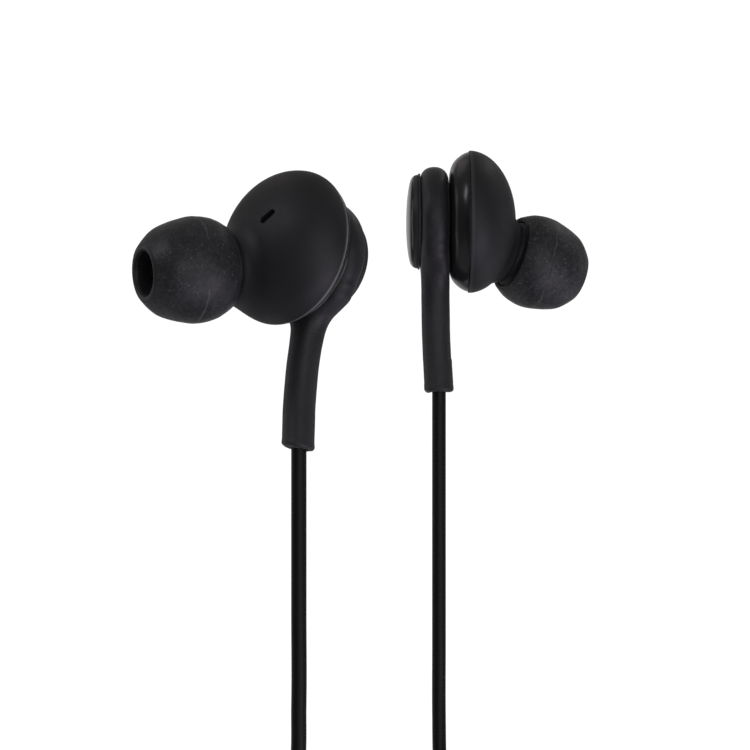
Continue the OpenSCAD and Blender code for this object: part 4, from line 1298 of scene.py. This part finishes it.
# ---- fork sleeve: two halves, wider towards the branches, ribbed at the foot
def fork_field(side):
    def field(p):
        x, y, z = p[:, 0], p[:, 1], p[:, 2]
        w = np.interp(z, [0, 2, 4, 6, 10, 13, 15, 17], [2.1, 2.25, 2.45, 2.65, 3.05, 3.22, 3.25, 3.05])
        t = np.interp(z, [0, 4, 10, 13, 17], [1.8, 1.95, 2.2, 2.3, 2.2])
        w2 = w - 0.16 * (np.abs(((z - 0.9) / 1.05) % 1 - 0.5) < 0.19) * (z > 0.9) * (z < 5.1)
        t2 = t - (w - w2)
        n = 2.7
        rad = (np.abs(x / w2) ** n + np.abs(y / t2) ** n) ** (1 / n)
        d = (rad - 1) * np.minimum(w2, t2) * 0.92
        d = smax(d, np.abs(z - 8.5) - 8.48, 0.7)
        inner = ((np.abs(x / (w * 0.66)) ** n + np.abs(y / (t - 0.85)) ** n) ** (1 / n) - 1) * 1.2
        inner = np.maximum(inner, np.abs(z - 8.5) - 6.1)
        d = np.maximum(d, -inner)
        foot = np.maximum(np.hypot(x, y) - (1.05 + 0.2 * np.exp(-np.maximum(z, 0) / 0.3)), z - 4)
        arms = np.maximum(np.hypot(np.abs(x) - 1.2, y) - (0.83 + 0.2 * np.exp(-np.maximum(17 - z, 0) / 0.3)), 12 - z)
        d = smax(d, -np.minimum(foot, arms), 0.1)
        return smax(d, 0.025 - side * y, 0.12)
    return field


cut_piece("fork_front_half_body", fork_field(-1), [-3.5, -2.5, -0.3], [3.5, 0.2, 17.3], 0.12, FORK_AT,
          "fork_front_half", ELAST)
cut_piece("fork_back_half_body", fork_field(1), [-3.5, -0.2, -0.3], [3.5, 2.5, 17.3], 0.12, FORK_AT,
          "fork_back_half", ELAST)


# ---- plug
def plug_field(p):
    x, y, z = p[:, 0], p[:, 1], p[:, 2]
    r = np.hypot(x, y)
    prof = np.interp(z, [0, 1.5, 4, 8, 12, 13.0, 13.8, 14.5, 16, 19, 22],
                     [2.88, 2.9, 2.82, 2.80, 2.86, 2.82, 2.45, 1.98, 1.78, 1.60, 1.45])
    d = smax(r - prof, np.abs(z - 11) - 11, 0.3)
    # grip flutes, then the relief's staggered slots
    ang = np.arctan2(y, x)
    flute = np.abs(np.sin(8 * ang)) * 0.12 * smoothstep(2.6, 3.4, z) * smoothstep(11.4, 10.6, z)
    d = d + 0.12 * smoothstep(2.6, 3.4, z) * smoothstep(11.4, 10.6, z) - flute
    for k in range(5):
        zz = 15.2 + 1.15 * k
        a, b = (x, y) if k % 2 else (y, x)
        cut = np.maximum(np.abs(z - zz) - 0.24, 1.2 - np.abs(a))
        cut = np.maximum(cut, np.abs(b) - 1.25)
        d = smax(d, -cut, 0.08)
    ring = np.hypot(r - 2.9, z - 2.0) - 0.16
    d = smax(d, -ring, 0.06)
    hole = np.maximum(r - 1.04, 18 - z)
    return smax(d, -hole, 0.06)


cut_piece("plug_grip_body", plug_field, [-3.2, -3.2, -0.3], [3.2, 3.2, 22.3], 0.13, PLUG_AT, "plug_grip", ELAST)
PR = 1.75


def contact(z0, z1, r=PR):
    return round_profile([(0, z0), (r, z0), (r, z1), (0, z1)], [0, 0.06, 0.06, 0], 4)


turned("plug_ground_sleeve_body", round_profile([(0, -4.2), (PR, -4.2), (PR, -0.7), (PR - 0.12, -0.6), (PR - 0.12, -0.42), (PR, -0.34),
                                                 (PR, 0.0), (0, 0.0)], [0, .06, .05, .02, .02, .05, .02, 0], 3), PLUG_AT,
       "plug_ground_sleeve", GOLD)
turned("plug_mic_ring_body", contact(-6.9, -4.7), PLUG_AT, "plug_mic_ring", GOLD)
turned("plug_right_ring_body", contact(-9.6, -7.4), PLUG_AT, "plug_right_ring", GOLD)
tip_line = [(0.0, -14.0), (0.28, -13.97), (0.55, -13.86), (0.8, -13.6), (1.15, -13.15), (1.42, -12.75), (1.54, -12.5),
            (1.55, -12.3), (1.5, -12.1), (1.32, -11.75), (1.17, -11.45), (1.18, -11.3), (1.4, -11.1), (1.66, -10.92),
            (1.75, -10.8), (1.75, -10.1), (0, -10.1)]
turned("plug_tip_body", round_profile(tip_line, [0] + [0.25] * 13 + [0.08, 0.03, 0], 3), PLUG_AT, "plug_tip", GOLD)
rings_v, rings_f = [], []
for z in (-4.7, -7.4, -10.1):
    v, f = lathe(contact(z, z + 0.5, PR - 0.03), lambda q: row(q + PLUG_AT), 72)
    rings_f += [tuple(i + sum(len(q) for q in rings_v) for i in t) for t in f]
    rings_v.append(v)
ins = new_object("plug_insulators_body", np.concatenate(rings_v), rings_f, "harness", sharp=35)
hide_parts("plug_insulators")
assign(ins, INSUL)


# ---- hook-and-loop tie, wrapped one and a quarter turns round the hank
def tie_strap():
    hx, hy, rc, th = 11.34, 4.14, 1.8, 0.68

    def ring(s):
        """Point and outward direction at s (0..1) round a rounded rectangle."""
        a, b = 2 * (hx - rc), 2 * (hy - rc)
        q = math.pi * rc / 2
        total = 2 * a + 2 * b + 4 * q
        d = (s % 1) * total
        legs = [(a, (-hx + rc, -hy), (1, 0), (0, -1)), (b, (hx, -hy + rc), (0, 1), (1, 0)),
                (a, (hx - rc, hy), (-1, 0), (0, 1)), (b, (-hx, hy - rc), (0, -1), (-1, 0))]
        corners = [(hx - rc, -hy + rc, -90), (hx - rc, hy - rc, 0), (-hx + rc, hy - rc, 90), (-hx + rc, -hy + rc, 180)]
        for (n, p0, t, o), c in zip(legs, corners):
            if d <= n:
                return np.array([p0[0] + t[0] * d, p0[1] + t[1] * d]), np.array(o, float)
            d -= n
            if d <= q:
                w = math.radians(c[2]) + d / rc
                o = np.array([math.cos(w), math.sin(w)])
                return np.array([c[0], c[1]]) + o * rc, o
            d -= q
        return np.array([-hx + rc, -hy]), np.array([0.0, -1.0])

    n = 330
    s0, s1 = 0.07, 1.29
    vs = []
    half, rr = th / 2, 0.2
    section = []
    for cx, cz, a0 in ((half - rr, 2.5 - rr, 0), (-half + rr, 2.5 - rr, 90), (-half + rr, -2.5 + rr, 180), (half - rr, -2.5 + rr, 270)):
        for k in range(4):
            w = math.radians(a0 + 30 * k)
            section.append((cx + rr * math.cos(w), cz + rr * math.sin(w)))
    section = np.array(section)
    for i in range(n):
        s = s0 + (s1 - s0) * i / (n - 1)
        c, o = ring(s)
        lift = half + (th + 0.06) * smoothstep(s0 + 0.94, s0 + 1.02, s) - 0.02
        # the free end is rounded off in width
        end = min(1.0, math.sqrt(max(0.0, 1 - max(0.0, (s - (s1 - 0.03)) / 0.03) ** 2)) * 0.94 + 0.06)
        start = min(1.0, 0.2 + (s - s0) / 0.01)
        wave = 0.06 * math.sin(s * 31) + 0.04 * math.sin(s * 57 + 1)
        for u, z in section:
            r = lift + u * (0.9 if start < 1 else 1)
            vs.append([c[0] + o[0] * r, c[1] + o[1] * r - 2.0, z * end + wave - 77.5])
    m = len(section)
    f = grid_faces(n, m)
    f += [tuple(range(m))[::-1], tuple(range((n - 1) * m, n * m))]
    ob = new_object("cord_tie_strap", row(np.array(vs)), f, "harness", sharp=50)
    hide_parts("cord_tie")
    return assign(ob, STRAP)


tie_strap()


WITH = {"left": ["fork_front_half_body", "fork_back_half_body"],
        "right_upper": ["remote_front_cover_body", "remote_back_cover_body"],
        "right_lower": ["fork_front_half_body", "fork_back_half_body"],
        "main": ["plug_grip_body", "plug_ground_sleeve_body", "plug_mic_ring_body", "plug_right_ring_body", "plug_tip_body",
                 "plug_insulators_body", "cord_tie_strap"]}
WITH = {k: [bpy.data.objects[n] for n in v] for k, v in WITH.items()}

WORLD = dict(front=0.095, above=0.115, behind=0.31, color=(1.0, 0.975, 0.98))


def toward(az, el, dist=420):
    """A place round the object, mm: az from the camera's side towards +x, el upwards."""
    a, e = math.radians(az), math.radians(el)
    return (dist * math.cos(e) * math.sin(a), -dist * math.cos(e) * math.cos(a), dist * math.sin(e))


# soft panels round the object; the low ones are the pale floor's bounce
LIGHTS = [
    dict(name="key", loc=toward(-63, 40), size=0.088, size_y=0.115, power=0.145, color=(0.93, 0.91, 1.0)),
    dict(name="front", loc=toward(15, 6), size=0.34, power=0.29, color=(0.94, 0.96, 1.0)),
    dict(name="right_low", loc=toward(47, -29), size=0.24, power=0.31, color=(0.92, 0.86, 1.0)),
    dict(name="right_floor", loc=toward(44, -50), size=0.28, power=0.22, color=(0.88, 0.83, 1.0)),
    dict(name="left", loc=toward(-111, 2), size=0.17, size_y=0.36, power=0.15, color=(1.0, 0.93, 0.98)),
    dict(name="bounce_left", loc=toward(-85, -50), size=0.4, power=0.08, color=(0.90, 0.92, 1.0)),
    dict(name="bounce_back", loc=toward(-145, -48), size=0.15, power=0.04, color=(1.0, 0.98, 1.0)),
    dict(name="bounce_right", loc=toward(120, -44), size=0.22, power=0.12, color=(0.92, 0.90, 1.0)),
    dict(name="right_back", loc=toward(112, 6), size=0.024, size_y=0.62, power=0.09, color=(1.0, 0.95, 0.97)),
    dict(name="back_left", loc=toward(-140, 48), size=0.19, power=0.03, color=(1.0, 0.86, 0.80)),
    dict(name="back_right", loc=toward(136, 44), size=0.09, power=0.055, color=(1.0, 0.94, 0.92)),
    dict(name="back", loc=toward(180, 3), size=0.40, power=0.06, color=(1.0, 0.98, 0.98)),
]
for L in LIGHTS:
    L["target"] = (0, 0, 5)


# ------------------------------------------------------------------ stage and light
def stage_mat(name, color, strength=0.0):
    m = bpy.data.materials.new(name)
    m.use_nodes = True
    b = m.node_tree.nodes["Principled BSDF"]
    b.inputs["Base Color"].default_value = (*color, 1)
    b.inputs["Roughness"].default_value = 0.8
    b.inputs["Specular IOR Level"].default_value = 0.1
    if strength:
        b.inputs["Emission Color"].default_value = (*color, 1)
        b.inputs["Emission Strength"].default_value = strength
    return m


CENTRE = Vector(row([-2, 0, -30]))
bm = bmesh.new()
bmesh.ops.create_uvsphere(bm, u_segments=64, v_segments=32, radius=4.0)
me = bpy.data.meshes.new("backdrop")
bm.to_mesh(me)
bm.free()
backdrop = bpy.data.objects.new("backdrop", me)
bpy.context.scene.collection.objects.link(backdrop)
backdrop.location = CENTRE
bmat = bpy.data.materials.new("backdrop_white")
bmat.use_nodes = True
nt = bmat.node_tree
nt.nodes.clear()
em = nt.nodes.new("ShaderNodeEmission")
em.inputs["Color"].default_value = (1, 1, 1, 1)
em.inputs["Strength"].default_value = 1.06
out = nt.nodes.new("ShaderNodeOutputMaterial")
nt.links.new(em.outputs[0], out.inputs["Surface"])
me.materials.append(bmat)
backdrop.visible_diffuse = False
backdrop.visible_glossy = False
backdrop.visible_shadow = False
backdrop.visible_transmission = False

FLOOR_Z = float(row([0, 0, -128.5])[2])
bm = bmesh.new()
bmesh.ops.create_circle(bm, cap_ends=True, segments=128, radius=0.36)
me = bpy.data.meshes.new("floor")
bm.to_mesh(me)
bm.free()
floor = bpy.data.objects.new("floor", me)
bpy.context.scene.collection.objects.link(floor)
floor.location = (CENTRE[0], CENTRE[1], FLOOR_Z)
me.materials.append(stage_mat("floor_pale", (0.86, 0.86, 0.86), 0.62))
floor.visible_diffuse = False
floor.visible_glossy = False
floor.visible_shadow = False

# a studio that is pale behind and above the object and dim in front of it
world = bpy.data.worlds.new("studio")
world.use_nodes = True
bpy.context.scene.world = world
wt = world.node_tree
bg = wt.nodes["Background"]
wc = wt.nodes.new("ShaderNodeTexCoord")
sep = wt.nodes.new("ShaderNodeSeparateXYZ")
wt.links.new(wc.outputs["Generated"], sep.inputs[0])


def wmath(op, a, b, clamp=False):
    n = wt.nodes.new("ShaderNodeMath")
    n.operation = op
    n.use_clamp = clamp
    for i, x in enumerate((a, b)):
        if hasattr(x, "links"):
            wt.links.new(x, n.inputs[i])
        else:
            n.inputs[i].default_value = x
    return n.outputs[0]


def wstep(sock, lo, hi):
    n = wt.nodes.new("ShaderNodeMapRange")
    n.interpolation_type = "SMOOTHSTEP"
    wt.links.new(sock, n.inputs["Value"])
    n.inputs["From Min"].default_value = lo
    n.inputs["From Max"].default_value = hi
    return n.outputs["Result"]


behind = wmath("MULTIPLY", wstep(sep.outputs["Y"], 0.72, 0.95), WORLD["behind"])
above = wmath("MULTIPLY", wstep(sep.outputs["Z"], 0.10, 0.95), WORLD["above"])
amount = wmath("ADD", wmath("ADD", behind, above), WORLD["front"])
wt.links.new(amount, bg.inputs[1])
bg.inputs[0].default_value = (*WORLD["color"], 1)


def area_light(name, loc, target, size, power, color=(1, 1, 1), size_y=None, spread=None):
    d = bpy.data.lights.new(name, "AREA")
    d.energy = power
    d.color = color
    d.size = size
    if size_y:
        d.shape = "RECTANGLE"
        d.size_y = size_y
    if spread:
        d.spread = math.radians(spread)
    o = bpy.data.objects.new(name, d)
    bpy.context.scene.collection.objects.link(o)
    o.location = Vector(row(loc))
    o.visible_camera = False
    o.rotation_euler = (Vector(row(target)) - o.location).to_track_quat("-Z", "Y").to_euler()
    return o


for L in LIGHTS:
    area_light(**L)

sc = bpy.context.scene
sc.view_settings.view_transform = "Standard"
sc.view_settings.look = "None"
sc.view_settings.exposure = 0
sc.view_settings.gamma = 1


# ------------------------------------------------------------------ carried-over nodes
for name, ob in frame["nodes"].items():
    if ob.hide_render:
        continue
    key = name.split("_", 1)[1] if name.split("_", 1)[0] in ("left", "right") else name
    mat = CAD_MATS.get(key) or CAD_MATS.get(name) or ELAST
    ob.data.materials.clear()
    ob.data.materials.append(mat)
    mark = ob.data.polygons
    mark.foreach_set("use_smooth", [True] * len(mark))

# ------------------------------------------------------------------ cord end points, worked out and left unused
tuple(row([LX, LY, -1.87]))
tuple(row([RX, RY, -7.42]))
tuple(row([-15.2, 3, -52]))
tuple(row([3.5, 4.9, -73]))
